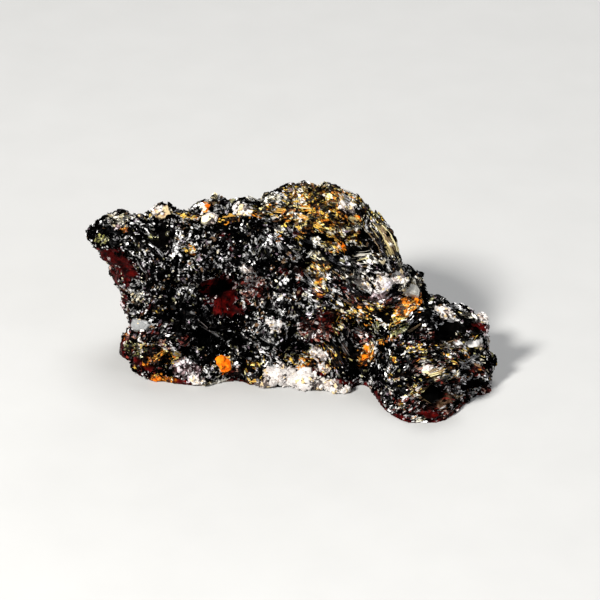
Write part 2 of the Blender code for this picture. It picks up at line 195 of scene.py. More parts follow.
@dataclass(frozen=True)
class FrontView:
    """The view that patches are placed in: along +Y and tipped down, nearly parallel."""

    origin: Span = (292.0, 369.15)  # view point of the stone's own origin
    scale: float = 4.1  # view points to a millimetre
    pitch: float = math.radians(30.0)
    size: float = 600.0  # view points across
    back: float = 200.0  # how far before the stone's middle a look starts, mm
    short: float = 10.0  # how far before it the nearest place is looked for, mm

    def axes(self) -> Array:
        """Gives the view's right, up and inward directions as rows."""
        s, c = math.sin(self.pitch), math.cos(self.pitch)
        return np.array([[1.0, 0.0, 0.0], [0.0, s, c], [0.0, c, -s]])

    def flat(self, at: Span) -> Span:
        """Turns a view point into millimetres right and up of the origin."""
        return (at[0] - self.origin[0]) / self.scale, (self.origin[1] - at[1]) / self.scale

    def meet(self, tree: BVHTree, at: Span | Array) -> tuple[Array, Array]:
        """Finds the surface that the view meets at a view point.

        Args:
            tree: the surface, in millimetres.
            at: the view point.

        Returns:
            The place and the way out of the surface there; off the outline, the nearest place.
        """
        right, up = self.flat(at)
        axes = self.axes()
        start = Vector(axes[0] * right + axes[1] * up - axes[2] * self.back)
        place, out, _, _ = tree.ray_cast(start, Vector(axes[2]))
        if place is None:
            place, out, _, _ = tree.find_nearest(start + Vector(axes[2]) * (self.back - self.short))
        return np.array(place), np.array(out)


VIEW = FrontView()


# ---- kinds of surface


class Kind(IntEnum):
    """What a place on the stone is made of; the shaded ore and the shaded pits also carry painted shade."""

    STEEL = 0
    # ore with few bright flakes on a near-black ground: painted shade
    DARK = 1
    GOLD = 2
    ORANGE = 3
    EARTH = 4
    RUST = 5
    WHITE = 6
    PINK = 7
    OLIVE = 8
    # hollows sunk into the skin and painted near-black: painted shade
    PIT = 9
    BROWN = 10
    STREAK = 11


class Ground(NamedTuple):
    """The bare stone of one kind: its two colours, its roughness and how chipped it is."""

    low: Rgb
    high: Rgb
    rough: float
    chipped: float


GROUNDS = {
    # the near-black grounds of plain ore, shaded ore and the shaded pits are painted shade, in the gaps
    # between flakes and in the hollows
    Kind.STEEL: Ground((.001, .001, .001), (.01, .009, .01), .42, 1.0),
    Kind.DARK: Ground((.001, .001, .001), (.006, .006, .006), .45, .8),
    Kind.GOLD: Ground((.002, .001, .001), (.12, .045, .008), .75, 1.0),
    Kind.ORANGE: Ground((.11, .02, .002), (.86, .23, .006), .8, .7),
    Kind.EARTH: Ground((.008, .0003, .0003), (.082, .0022, .0018), .6, .16),
    Kind.RUST: Ground((.016, .002, .002), (.2, .036, .022), .7, .5),
    Kind.WHITE: Ground((.06, .04, .034), (.76, .72, .68), .4, .7),
    Kind.PINK: Ground((.01, .005, .005), (.34, .25, .26), .4, .8),
    Kind.OLIVE: Ground((.03, .032, .01), (.26, .25, .09), .65, .8),
    Kind.PIT: Ground((.0003, .0003, .0003), (.0015, .0012, .0012), .95, .4),
    Kind.BROWN: Ground((.03, .014, .007), (.13, .075, .042), .28, .1),
    Kind.STREAK: Ground((.16, .12, .07), (.7, .62, .43), .55, .7),
}


class Patch(NamedTuple):
    """A place of one kind: its view point, half its sizes, its turn and its strength."""

    kind: Kind
    at: Span
    half: Span
    turn: float = 0.0
    strength: float = 1.0
    deep: float = 1.6  # how far it reaches into the view, as a share of its longer half


# each kind's patches: view point, half its sizes, turn, strength, and its depth where it is its own
PATCH_ROWS: dict[Kind, tuple[Row, ...]] = {
    # dim ore with painted shade: under the fold, along the top ledge, in the low front and over the lobe
    Kind.DARK: (
        (352, 195, 14, 4, -30, .55), (308, 245, 16, 6, -42), (335, 264, 22, 6, -30),
        (345, 288, 22, 5, -38, .5), (342, 345, 12, 22, 30, .6), (240, 300, 60, 26, -20, .22),
        (208, 332, 26, 14, -8, .84), (272, 335, 22, 10, 20, .7), (180, 306, 18, 12, 0, .66),
        (262, 262, 18, 6, 0, .5), (150, 225, 10, 4, -10, .9), (122, 240, 12, 5, -10, .5),
        (225, 208, 60, 6, 8, .56), (274, 201, 13, 2, 0, .9), (428, 350, 34, 20, 30, .58),
        (440, 392, 40, 14, 12, .76), (470, 350, 18, 26, 0, .48), (400, 378, 14, 26, -30, .7),
        (428, 318, 7, 20, 8, .9), (340, 322, 50, 16, 10, .42), (336, 352, 34, 16, 20, .66),
        (412, 392, 30, 18, -30, .46), (278, 203, 30, 12, -5, .34), (124, 226, 26, 14, 0, .34),
        (222, 213, 84, 7, -2, .46),
    ),
    # stain over the hump, the slope, the crest and the lower left
    Kind.GOLD: (
        (322, 206, 42, 20, -14, .94), (298, 193, 14, 8, 12, .7), (346, 226, 24, 18, -30, .8),
        (312, 222, 30, 6, -27), (332, 248, 14, 5, -25, .9), (318, 268, 13, 11, 0, .8),
        (320, 287, 8, 13, 8, .8), (371, 303, 20, 8, -8, .58), (396, 314, 19, 9, 34),
        (358, 312, 9, 7, -10, .6), (322, 381, 8, 3, -15, .8), (309, 389, 8, 2.2, 0, .8),
        (252, 381, 16, 3, 5, .85), (250, 366, 12, 5, 15, .5), (292, 358, 10, 4, 0, .5),
        (191, 250, 6, 6, 0, .6), (270, 298, 3, 4, 0, .7), (162, 212, 12, 6, 5, .9),
        (188, 216, 20, 4, -4, .7), (227, 221, 18, 3, 8, .8), (272, 211, 24, 5, -3, .95),
        (290, 217, 12, 6, -15, .9), (149, 213, 5, 4, 0, .6), (158, 311, 11, 3, 12, .7),
        (154, 359, 11, 5, 25, .9), (148, 354, 30, 16, 20, .34), (174, 356, 8, 7, 0, .7),
        (446, 354, 40, 26, 20, .2), (438, 371, 20, 3, 12, .55), (406, 347, 9, 5, -30, .6),
        (392, 359, 4, 4, 0, .7), (322, 358, 30, 14, 10, .42), (350, 316, 36, 16, 10, .24),
        (410, 388, 24, 14, -30, .18), (420, 392, 11, 4, 10, .7), (401, 402, 5, 5, 0, .6),
    ),
    # limonite on the hump and the slope, and along the foot
    Kind.ORANGE: (
        (306, 208, 5, 3, -20, .8), (322, 221, 6, 2.5, -25, .9), (357, 220, 6, 4, -30, .9),
        (341, 247, 7, 3.5, -25), (357, 238, 4, 5, 0, .7), (321, 283, 3, 5, 15, .8), (409, 304, 18, 9, 38),
        (418, 298, 6, 6, 0, .8), (384, 341, 12, 2.2, 18, .9), (366, 354, 6, 13, -22),
        (347, 393, 6, 2, -10, .6), (207, 206, 7, 6, 40), (256, 216, 7, 3, 0, .8),
        (123, 229, 6, 3.5, -20, .9), (121, 336, 4, 3, 0, .6), (155, 361, 6, 3, 25, .6),
        (154, 358, 14, 5, 28, .5), (160, 379, 14, 4, -12, .9), (224, 364, 8, 8, 0, .9),
        (303, 364, 8, 5, 0, .6),
    ),
    # red earth in the cavity, and the same dark red at the left end and along the rims
    Kind.EARTH: (
        (369, 336, 4, 6, 0, .8), (324, 318, 13, 7, -20, .85), (311, 337, 9, 6, 20, .85),
        (318, 373, 10, 3, -20, .9), (350, 383, 20, 3.2, -8), (266, 383, 10, 2.5, -30, .9),
        (220, 289, 21, 16), (224, 307, 19, 9, -14), (229, 300, 8, 7), (237, 290, 6, 5, 0, .4),
        (248, 298, 9, 6, 0, .5), (268, 280, 5, 5, 0, .8), (284, 270, 5, 5, 0, .8), (226, 238, 4, 4, 0, .8),
        (232, 248, 4, 3, 0, .6), (296, 234, 4, 3, 0, .7), (298, 292, 6, 5, 0, .7), (105, 257, 12, 11, -20),
        (114, 259, 14, 10, -30), (126, 270, 16, 9, -40), (111, 278, 6, 9, 20), (116, 292, 5, 14, 10, .85),
        (117, 330, 4, 26, 0, .85), (118, 352, 4, 12, 0, .9), (135, 375, 20, 4, -37),
        (170, 386, 26, 3.5, -8), (480, 326, 11, 6, -20), (428, 413, 13, 5, 8), (379, 400, 3, 15, 28),
        (400, 417, 17, 2.6, -22),
    ),
    # brown hollows
    Kind.RUST: (
        (318, 293, 7, 7, 0, .6), (300, 272, 6, 8, 0, .5), (350, 290, 24, 12, -35, .18),
        (362, 301, 18, 7, -10, .5), (392, 299, 8, 4, 30, .75), (362, 334, 9, 8, 0, .7),
        (316, 329, 17, 14, 0, .95), (334, 385, 5, 1.6, -20, .9), (236, 372, 12, 6, 10, .5),
        (254, 288, 15, 13, 0, .88), (112, 272, 8, 12, -70, .8), (126, 330, 5, 5, 0, .7),
        (135, 339, 9, 5, -10, .5), (122, 338, 7, 7, 0, .9), (184, 343, 7, 6, 0, .8),
        (148, 346, 34, 24, 0, .26), (436, 396, 42, 18, 14, .32), (434, 352, 36, 26, 20, .12),
        (430, 334, 5, 6, 0, .6), (479, 371, 9, 7, 10, .75), (458, 410, 22, 3.5, 22),
        (484, 394, 14, 3.5, 38, .9),
    ),
    # the crust along the foot, and single crystals
    Kind.WHITE: (
        (348, 208, 8, 5, -20, .95), (364, 283, 9, 5, -20, .5), (383, 284, 10, 9, 20),
        (397, 277, 8, 5, -10, .8), (318, 354, 11, 4, -25, .75), (322, 367, 7, 3, -25, .7),
        (281, 375, 18, 9, 4), (303, 381, 20, 8, -4), (327, 386, 16, 6, -8), (344, 391, 9, 3.5, -5),
        (262, 388, 8, 3, 0, .85), (276, 326, 8, 5, -20, .85), (246, 272, 9, 3, -25, .6),
        (158, 209, 8, 4, 5, .8), (209, 219, 7, 4, 10, .9), (242, 209, 9, 6, -20, .34),
        (138, 212, 9, 4, 0, .5), (141, 325, 8, 3, -6, .8), (196, 380, 8, 4, -30, .8),
        (447, 315, 12, 5, -42, .9), (480, 341, 6, 3, 5), (426, 368, 4, 4, 0, .8), (481, 317, 8, 3, -38, .7),
    ),
    # the pink foot, the slope and small spots at the left end
    Kind.PINK: (
        (379, 296, 10, 7, -15, .66), (312, 336, 4, 3, 0, .7), (116, 226, 4, 4, 0, .7),
        (118, 308, 4, 4, 0, .85), (187, 371, 17, 9, -32, .66),
    ),
    # greenish stain at the left end, on the slope and on the lobe
    Kind.OLIVE: (
        (372, 214, 10, 4, -50, .6), (372, 327, 10, 6, 10, .34), (402, 328, 12, 6, 20, .36),
        (334, 330, 3, 3, 0, .8), (153, 236, 4, 5, 30, .7), (126, 216, 9, 4, -20, .32),
        (101, 238, 8, 5, -10, .75), (136, 351, 12, 6, 10), (127, 348, 8, 5), (152, 346, 4, 8, -35, .7),
        (474, 348, 8, 4, 0, .26), (450, 358, 6, 4, 0, .24),
    ),
    # hollows and the cracks of the crust: sunk in, and painted near-black as shade
    Kind.PIT: (
        (331, 212, 7, 2.5, 5, .8), (335, 223, 7, 2.5, 0, .8), (323, 194, 6, 2, 0, .8),
        (366, 236, 9, 10, -30), (378, 232, 6, 9, -60, .8), (394, 287, 6, 6), (384, 315, 8, 8, 10),
        (340, 312, 9, 8, 0, .75), (292, 371, 5, 1.5, -30, .85), (277, 377, 2.5, 2, 0, .9),
        (298, 378, 7, 1.2, 24, .8), (313, 385, 7, 1.2, -18, .8), (331, 388, 6, 1.1, -22, .8),
        (270, 382, 4, 1.2, 30, .8), (220, 290, 12, 9), (206, 316, 10, 5, -10, .85),
        (161, 226, 13, 13, 0, 1, 6), (162, 239, 11, 12, 0, 1, 6), (152, 368, 6, 4, 0, .9),
        (463, 327, 14, 8, -15), (445, 334, 17, 15, 0, 1, 3), (112, 264, 15, 12, -35, .45),
        (431, 392, 17, 10, 20, 1, 3), (471, 386, 15, 6, 15),
    ),
    # the glassy face of the lobe
    Kind.BROWN: (
        (448, 397, 15, 7, 38, .9),
    ),
    # cream blades and threads
    Kind.STREAK: (
        (302, 216, 7, 3, -10, .8), (362, 200, 12, 3.5, -38, .7), (352, 229, 9, 3, 8, .8),
        (318, 243, 9, 2.5, -38, .6), (317, 256, 9, 2.5, -25), (365, 256, 18, 1.8, 6, .7),
        (368, 262, 15, 1.6, 3, .6), (392, 250, 4, 16, 22, .45), (398, 264, 6, 6, 25, .6),
        (352, 277, 22, 8, -35, .3), (412, 286, 13, 8, 0, .9), (213, 384, 13, 3, 14, .9),
        (214, 196, 4, 5, 0, .5), (268, 198, 15, 5, 0, .85), (117, 220, 14, 7, -8, .42),
        (134, 298, 8, 5, -10, .5), (143, 348, 5, 3, 40, .7), (468, 314, 10, 4, -25, .6),
        (444, 376, 18, 2, 10, .8), (441, 394, 12, 1.5, 34, .8), (455, 398, 9, 1.3, 44, .7),
        (418, 417, 6, 2.5, 0, .8),
    ),
}
PATCHES = tuple(
    Patch(kind, (x, y), (a, b), *rest) for kind, rows in PATCH_ROWS.items() for x, y, a, b, *rest in rows
)


@dataclass(frozen=True)
class WildPatches:
    """Patches for the sides that the front view doesn't meet, placed by seeded chance."""

    count: int = 96
    seed: int = 41
    size: Span = (1.3, 5.2)
    kinds: tuple[tuple[Kind, float], ...] = (
        (Kind.GOLD, 0.27), (Kind.ORANGE, 0.06), (Kind.EARTH, 0.14), (Kind.RUST, 0.08), (Kind.WHITE, 0.11),
        (Kind.PINK, 0.06), (Kind.OLIVE, 0.06), (Kind.PIT, 0.09), (Kind.DARK, 0.08), (Kind.STREAK, 0.05),
    )


class Flow(NamedTuple):
    """The way that long flakes lie about a view point: its reach, its turn and its hold."""

    at: Span
    reach: float
    turn: float
    hold: float


FLOWS = tuple(
    Flow((x, y), *rest)
    for x, y, *rest in (
        (300, 205, 8, -8, .5), (330, 215, 9, -24, .52), (352, 205, 7, -38, .62), (330, 245, 8, -32, .7),
        (385, 235, 7, -64, .9), (365, 258, 5, 2, .85), (348, 288, 8, -38, .75), (405, 306, 6, 38, .8),
        (366, 354, 4, 68, .6), (345, 350, 6, -62, .75), (440, 372, 9, 12, .85), (470, 350, 7, -20, .6),
        (450, 316, 6, -36, .6), (415, 395, 7, 24, .6), (265, 207, 6, -2, .75), (205, 214, 6, 8, .6),
        (140, 218, 8, -12, .6), (148, 334, 6, 34, .6), (235, 345, 9, -34, .35), (285, 345, 6, 30, .35),
    )
)
BACK_FLOW = ((0.93, -0.1, -0.36), 0.45)  # how flakes lie where no flow reaches, and its hold


class Swelling(NamedTuple):
    """A view point where the skin stands out past the solid, or falls back: reach and height, mm."""

    at: Span
    reach: float
    height: float


SWELLINGS = tuple(
    Swelling((x, y), *rest)
    for x, y, *rest in (
        (110, 222, 3.6, 2.2), (137, 223, 2.8, 2), (148, 219, 2, 1.8), (161, 228, 2.4, -1.6),
        (107, 258, 3.4, 1.5), (112, 272, 4, 1), (123, 318, 5, 2.4), (140, 370, 4.5, 1.5),
        (245, 208, 3.5, 1.2), (270, 202, 4, 1.2), (304, 192, 4.5, 1.5), (373, 222, 4, 2),
        (384, 238, 4.5, 1.6), (412, 281, 4.5, 2.4), (460, 312, 3.2, 1.4), (490, 328, 3, -1),
        (490, 354, 4, -1.4), (489, 388, 3.5, -1.8),
    )
)


# ---- meshes


@dataclass
class Sheet:
    """The parts of one mesh, gathered as whole arrays before it is laid."""

    points: Array
    corners: Array
    starts: Array
    values: dict[str, Array] = field(default_factory=dict)  # what each point carries
    bake_map: Array | None = None
    smooth: Array | bool = False

    def lay(self, name: str) -> Piece:
        """Lays the arrays into a mesh in metres and links its object.

        Args:
            name: the object's name.

        Returns:
            The new object, at the origin.
        """
        mesh = bpy.data.meshes.new(name)
        mesh.vertices.add(len(self.points))
        mesh.loops.add(len(self.corners))
        mesh.polygons.add(len(self.starts))
        mesh.vertices.foreach_set("co", (self.points * MM).astype(np.float32).ravel())
        mesh.loops.foreach_set("vertex_index", self.corners.astype(np.int32))
        mesh.polygons.foreach_set("loop_start", self.starts.astype(np.int32))
        smooth = np.broadcast_to(np.asarray(self.smooth, bool), len(self.starts))
        mesh.polygons.foreach_set("use_smooth", np.ascontiguousarray(smooth))
        if self.bake_map is not None:
            layer = mesh.uv_layers.new(name=BAKE_MAP)
            layer.data.foreach_set("uv", self.bake_map.astype(np.float32).ravel())
        for label, values in self.values.items():
            kind, slot = ("FLOAT", "value") if values.ndim == 1 else ("FLOAT_VECTOR", "vector")
            data = mesh.attributes.new(label, kind, "POINT").data
            data.foreach_set(slot, values.astype(np.float32).ravel())
        mesh.update(calc_edges=True)
        if mesh.validate():
            log.warning("%s needed mending", name)
        piece = bpy.data.objects.new(name, mesh)
        bpy.context.scene.collection.objects.link(piece)
        return piece


def settle(piece: Piece, material: Material) -> Piece:
    """Gives a piece its finish and its body, and reports it.

    Args:
        piece: the piece.
        material: its finish.

    Returns:
        The same piece.
    """
    piece.data.materials.append(material)
    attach(piece, BODY)
    log.info("%s: %d faces", piece.name, len(piece.data.polygons))
    return piece


def lay_strips(
    name: str, points: Array, material: Material, values: dict[str, Array] | None = None
) -> Piece:
    """Lays closed strips of quads, with a cap at either end, as one piece above the floor.

    A strip's last column meets its first, and its rows rise, so that its quads face outward.

    Args:
        name: the piece's name.
        points: the places by strip, row and column.
        material: the piece's finish.
        values: what each point carries.

    Returns:
        The piece.
    """
    copies, rows, columns = points.shape[:3]
    row, column = np.meshgrid(np.arange(rows - 1), np.arange(columns), indexing="ij")
    after = (column + 1) % columns
    here, there = row * columns, (row + 1) * columns
    quads = np.stack([here + column, here + after, there + after, there + column], axis=-1)
    first = (np.arange(copies) * rows * columns)[:, None]
    foot = first + np.arange(columns)[::-1]
    top = first + (rows - 1) * columns + np.arange(columns)
    walls = quads.reshape(1, -1) + first
    corners = np.concatenate([walls.ravel(), foot.ravel(), top.ravel()])
    caps = walls.size + np.arange(2 * copies) * columns
    starts = np.concatenate([np.arange(0, walls.size, 4), caps])
    flat = points.reshape(-1, 3).copy()
    flat[:, 2] = np.maximum(flat[:, 2], FLOOR_GAP)
    return settle(Sheet(flat, corners, starts, values or {}).lay(name), material)


# ---- the stone


@dataclass
class Stone:
    """The specimen's own skin, which everything else is rooted in."""

    voxel: float = 0.50
    inset: float = 0.25
    calm_rounds: int = 10
    foot: float = 0.7  # height under which the skin runs straight down to the floor
    pit_depth: float = 1.9
    patch_edge: Span = (0.72, 1.18)  # where a patch's share begins and ends to fall, in half sizes
    shallow: float = 2.5  # least that a patch reaches into the stone, mm
    half_length: float = 52.0  # half of the length that the map is parted over, mm
    slices: int = 40  # parts of that length
    spine: float = 14.0  # height of the line that the map is rolled round, mm
    big_chips: Chips = Chips(2.7, 1.25, 0.30, 1.0, 210)
    small_chips: Chips = Chips(1.2, 0.50, 0.24, 0.9, 230)
    wild: WildPatches = WildPatches()
    points: Array = field(init=False)
    quads: Array = field(init=False)
    outward: Array = field(init=False)
    weights: Array = field(init=False)
    areas: Array = field(init=False)
    smooth: BVHTree = field(init=False)
    tree: BVHTree = field(init=False)

    def __post_init__(self) -> None:
        """Takes the skin from the CAD solid, sorts it into kinds and roughens it."""
        self.read_solid()
        self.swell_up()
        self.weights = self.weigh(self.points)
        self.roughen()
        corners = self.points[self.quads]
        across = np.cross(corners[:, 2] - corners[:, 0], corners[:, 3] - corners[:, 1])
        self.areas = sizes(across) / 2.0
        self.tree = BVHTree.FromPolygons(self.points.tolist(), self.quads.tolist())

    def read_solid(self) -> None:
        """Remeshes a merged copy of the solid into even quads, and evens out its normals.

        A normal is calmed by adding up its neighbours' normals along the edges and taking the
        unit vector of the sum, several times over.
        """
        mesh = solid_mesh(NODE)
        guide = bpy.data.objects.new("skin_guide", mesh)
        bpy.context.scene.collection.objects.link(guide)
        remesh = guide.modifiers.new("skin", "REMESH")
        remesh.mode = "VOXEL"
        remesh.voxel_size = self.voxel * MM
        graph = bpy.context.evaluated_depsgraph_get()
        fine = bpy.data.meshes.new_from_object(guide.evaluated_get(graph))
        self.points = read_values(fine.vertices, "co", 3) / MM
        self.quads = read_values(fine.loops, "vertex_index", 1, np.int32).reshape(-1, 4)
        normals = read_values(fine.vertex_normals, "vector", 3)
        edges = read_values(fine.edges, "vertices", 2, np.int32)
        for _ in range(self.calm_rounds):
            for axis in range(3):
                value = normals[:, axis].copy()
                for a, b in ((0, 1), (1, 0)):
                    normals[:, axis] += np.bincount(edges[:, a], value[edges[:, b]], len(value))
            normals = unit(normals)
        self.outward = normals
        bpy.data.objects.remove(guide)
        bpy.data.meshes.remove(mesh)
        bpy.data.meshes.remove(fine)

    def swell_up(self) -> None:
        """Moves the skin out along its calm normals by the swellings.

        Each adds its height times exp(-(distance / reach)^2).
        """
        smooth = BVHTree.FromPolygons(self.points.tolist(), self.quads.tolist())
        out = np.zeros(len(self.points))
        for swelling in SWELLINGS:
            middle, _ = VIEW.meet(smooth, swelling.at)
            gap = sizes(self.points - middle)
            out += swelling.height * np.exp(-((gap / swelling.reach) ** 2))
        out *= smooth_step(self.points[:, 2], -0.2, self.foot)
        self.points = self.points + self.outward * out[:, None]
        self.smooth = BVHTree.FromPolygons(self.points.tolist(), self.quads.tolist())

    def patch_places(self) -> list[tuple[Patch, Array, Array]]:
        """Finds every patch's middle on the smooth skin and the three axes that it spreads along.

        Returns:
            Each patch with its middle and its axes divided by its half sizes, as rows.
        """
        axes = VIEW.axes()
        found = []
        for patch in PATCHES:
            place, _ = VIEW.meet(self.smooth, patch.at)
            turn = math.radians(patch.turn)
            along = math.cos(turn) * axes[0] + math.sin(turn) * axes[1]
            across = math.cos(turn) * axes[1] - math.sin(turn) * axes[0]
            half = np.array(patch.half) / VIEW.scale
            deep = max(patch.deep * half.max(), self.shallow)
            spread = np.stack([along / half[0], across / half[1], axes[2] / deep])
            found.append((patch, place, spread))
        return found

    def wild_places(self) -> list[tuple[Patch, Array, Array]]:
        """Places the wild patches on points that face away from the front view.

        Returns:
            The same as patch_places gives.
        """
        rng = np.random.default_rng(self.wild.seed)
        away = self.outward @ VIEW.axes()[2] > 0.12
        away &= self.points[:, 2] > 1.0
        picked = rng.choice(np.flatnonzero(away), self.wild.count, replace=False)
        kinds, shares = zip(*self.wild.kinds)
        chosen = rng.choice(len(kinds), self.wild.count, p=np.array(shares) / sum(shares))
        halves = rng.uniform(*self.wild.size, self.wild.count)
        slims = rng.uniform(0.3, 0.9, self.wild.count)
        turns = unit(rng.normal(size=(self.wild.count, 3)) * (1.0, 0.6, 0.35))
        found = []
        for i, index in enumerate(picked):
            out = self.outward[index]
            along = unit(turns[i] - out * (turns[i] @ out))
            across = np.cross(out, along)
            half = halves[i]
            spread = np.stack([along / half, across / (half * slims[i]), out / max(half, self.shallow)])
            patch = Patch(kinds[chosen[i]], (0.0, 0.0), (half, half), 0.0, 0.9)
            found.append((patch, self.points[index], spread))
        return found

    def weigh(self, points: Array) -> Array:
        """Works out how much of each kind there is at each place, from 0 to 1.

        A patch's share falls from its strength to nothing as the distance from its middle, in
        half sizes and warped by noise, crosses the patch's edge. The wild ones' share also ends
        where the skin turns to the front view. Each kind keeps its highest share. The earth
        kind's dark red is also laid along the foot, and along the left end's edge where the skin
        turns away from the front view; gold is laid over the back of the hump.

        Args:
            points: places, one a row.

        Returns:
            A column for each kind; the first, for plain ore, is what the others leave.
        """
        weights = np.zeros((len(points), len(Kind)))
        warp = 0.34 * swell(points, 1.5, 11) + 0.20 * swell(points, 0.7, 12)
        facing = self.outward @ VIEW.axes()[2]
        behind = smooth_step(facing, -0.15, 0.12)
        placed = [(found, 1.0) for found in self.patch_places()]
        placed += [(found, behind) for found in self.wild_places()]
        for (patch, middle, spread), limit in placed:
            near = sizes((points - middle) @ spread.T) + warp
            share = patch.strength * limit * (1.0 - smooth_step(near, *self.patch_edge))
            weights[:, patch.kind] = np.maximum(weights[:, patch.kind], share)
        left = smooth_step(-points[:, 0] + 1.5 * warp, 31.0, 34.0)
        foot = (1.0 - smooth_step(points[:, 2] + warp, 0.3, 1.1)) * 0.85
        foot *= smooth_step(swell(points, 5.0, 13), -0.5, 0.2)
        rim = smooth_step(facing + 0.1 * warp, -0.62, -0.36)
        rim *= 1.0 - smooth_step(facing + 0.35 * warp, -0.22, 0.06)
        rim *= left * (1.0 - smooth_step(points[:, 2], 27.0, 30.0)) * 0.9
        foot = np.maximum(foot, rim)
        weights[:, Kind.EARTH] = np.maximum(weights[:, Kind.EARTH], foot)
        hump = smooth_step(points[:, 2], 37.0, 43.0) * smooth_step(points[:, 0], -6.0, 2.0)
        hump *= smooth_step(swell(points, 3.0, 14), -0.4, 0.4) * 0.8
        weights[:, Kind.GOLD] = np.maximum(weights[:, Kind.GOLD], hump)
        self.give_way(weights)
        return weights

    @staticmethod
    def give_way(weights: Array) -> None:
        """Lets each kind take its share from those before it, so that the row adds up to 1.

        Args:
            weights: a column for each kind, changed in place.
        """
        order = (Kind.PIT, Kind.WHITE, Kind.ORANGE, Kind.BROWN, Kind.STREAK, Kind.PINK)
        order += (Kind.EARTH, Kind.RUST, Kind.GOLD, Kind.OLIVE, Kind.DARK)
        left = np.ones(len(weights))
        for kind in order:
            weights[:, kind] *= left
            left = left - weights[:, kind]
        weights[:, Kind.STEEL] = left

    def mixed(self, label: str) -> Array:
        """Blends one of the grounds' values by the kinds' shares at each point."""
        return self.weights @ np.array([getattr(GROUNDS[kind], label) for kind in Kind])

    def roughen(self) -> None:
        """Moves the skin along its calm normals and closes it flat on the floor.

        The way out is the two layers of chips and a soft swell, each by how chipped the kind
        is, less the inset and the depth of the pits.
        """
        rough = self.mixed("chipped")
        out = rough * (self.big_chips.height(self.points) + self.small_chips.height(self.points))
        out += 0.16 * swell(self.points, 1.1, 15) + (1.0 - rough) * 0.22 * swell(self.points, 2.4, 16)
        out -= self.inset + self.pit_depth * self.weights[:, Kind.PIT] ** 1.5
        out *= smooth_step(self.points[:, 2], -0.2, self.foot)
        moved = self.points + self.outward * out[:, None]
        on_base = self.points[:, 2] < 0.5 * self.voxel
        moved[:, 2] = np.where(on_base, 0.0, np.maximum(moved[:, 2], 0.0))
        self.points = moved

    def unrolled(self) -> Array:
        """Works out the skin's own map: unrolled round its length, with the seam underneath.

        Across, it is the place along x, stretched towards the ends by an arcsine. Upward, it is
        the angle round a spine, from straight down. Corners past the seam go on above the top.

        Returns:
            A map place for each corner.
        """
        x, y, z = self.points.T
        share = (x + self.half_length) / (2.0 * self.half_length)
        bins = np.clip((share * self.slices).astype(int), 0, self.slices - 1)
        many = np.maximum(np.bincount(bins, minlength=self.slices), 1)
        middle_y = np.convolve(np.bincount(bins, y, self.slices) / many, np.ones(5) / 5, "same")
        reach = np.clip(x / (self.half_length - 0.5), -0.999, 0.999)
        across = 0.5 + 0.48 * (0.6 * reach + 0.4 * np.arcsin(reach) * 2.0 / np.pi)
        turn = np.arctan2(y - middle_y[bins], -(z - self.spine)) / (2.0 * np.pi)
        turn = np.where(turn < 0.0, turn + 1.0, turn)[self.quads]
        far = (turn.max(axis=1) - turn.min(axis=1) > 0.5)[:, None]
        turn = np.where(far & (turn < 0.5), turn + 1.0, turn)
        place = np.stack([across[self.quads], 0.01 + 0.96 * np.minimum(turn, 1.02)], axis=-1)
        return place.reshape(-1, 2)

    def lay(self, finish: "StoneFinish") -> Piece:
        """Lays the skin, dressed in the kinds' colours, in place of the CAD solid.

        Args:
            finish: the skin's finish.

        Returns:
            The piece.
        """
        mottle = smooth_step(swell(self.points, 0.9, 17) + 0.5 * swell(self.points, 0.4, 18), -0.7, 0.9)
        low, high = self.mixed("low"), self.mixed("high")
        colour = low + (high - low) * mottle[:, None]
        rough = self.mixed("rough")
        even = self.mixed("chipped")[self.quads].mean(axis=1) < 0.35
        values = {"ground": colour, "dull": rough, "ore": self.weights[:, Kind.STEEL]}
        starts = np.arange(len(self.quads)) * 4
        sheet = Sheet(self.points, self.quads.ravel(), starts, values, self.unrolled(), even)
        piece = settle(sheet.lay("stone_skin"), finish.material())
        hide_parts(NODE)
        return piece

    def scatter(self, shares: Array, rng: Rng, count: int) -> tuple[Array, Array, Array]:
        """Picks places over the skin, as many on each quad as its area times its share asks.

        Args:
            shares: how thickly each quad is covered.
            rng: the seeded chance.
            count: how many places.

        Returns:
            The places, the ways out, and the quads they lie in.
        """
        running = np.cumsum(self.areas * shares)
        steps = (np.arange(count) + rng.random(count)) / count * running[-1]
        quad = np.minimum(np.searchsorted(running, steps), len(shares) - 1)
        u, v = rng.random((2, count, 1))
        a, b, c, d = (self.points[self.quads[quad, k]] for k in range(4))
        places = (a * (1 - u) + b * u) * (1 - v) + (d * (1 - u) + c * u) * v
        return places, unit(self.outward[self.quads[quad]].mean(axis=1)), quad

    def calm_place(self, near: Array) -> tuple[Array, Array]:
        """Finds the skin's nearest place and the calm way out there.

        Args:
            near: a place near the skin.

        Returns:
            The place, and the way out.
        """
        place = np.array(self.tree.find_nearest(Vector(near))[0])
        beside = np.argmin(sizes(self.points - place))
        return place, self.outward[beside]

    def flow(self, places: Array) -> tuple[Array, Array]:
        """Works out which way long flakes lie at each place and how firmly.

        Each flow's direction counts by exp(-(distance / reach)^2), and the back flow by a
        small fixed share.

        Args:
            places: where the flakes are.

        Returns:
            Directions, and holds from 0 to 1.
        """
        axes = VIEW.axes()
        way = np.tile(np.array(BACK_FLOW[0]) * 0.05, (len(places), 1))
        hold = np.full(len(places), BACK_FLOW[1] * 0.05)
        total = np.full(len(places), 0.05)
        for flow in FLOWS:
            middle, _ = VIEW.meet(self.tree, flow.at)
            gap = sizes(places - middle)
            share = np.exp(-((gap / flow.reach) ** 2))
            turn = math.radians(flow.turn)
            way += share[:, None] * (math.cos(turn) * axes[0] + math.sin(turn) * axes[1])
            hold += share * flow.hold
            total += share
        return unit(way), hold / total * smooth_step(total, 0.0, 0.6)


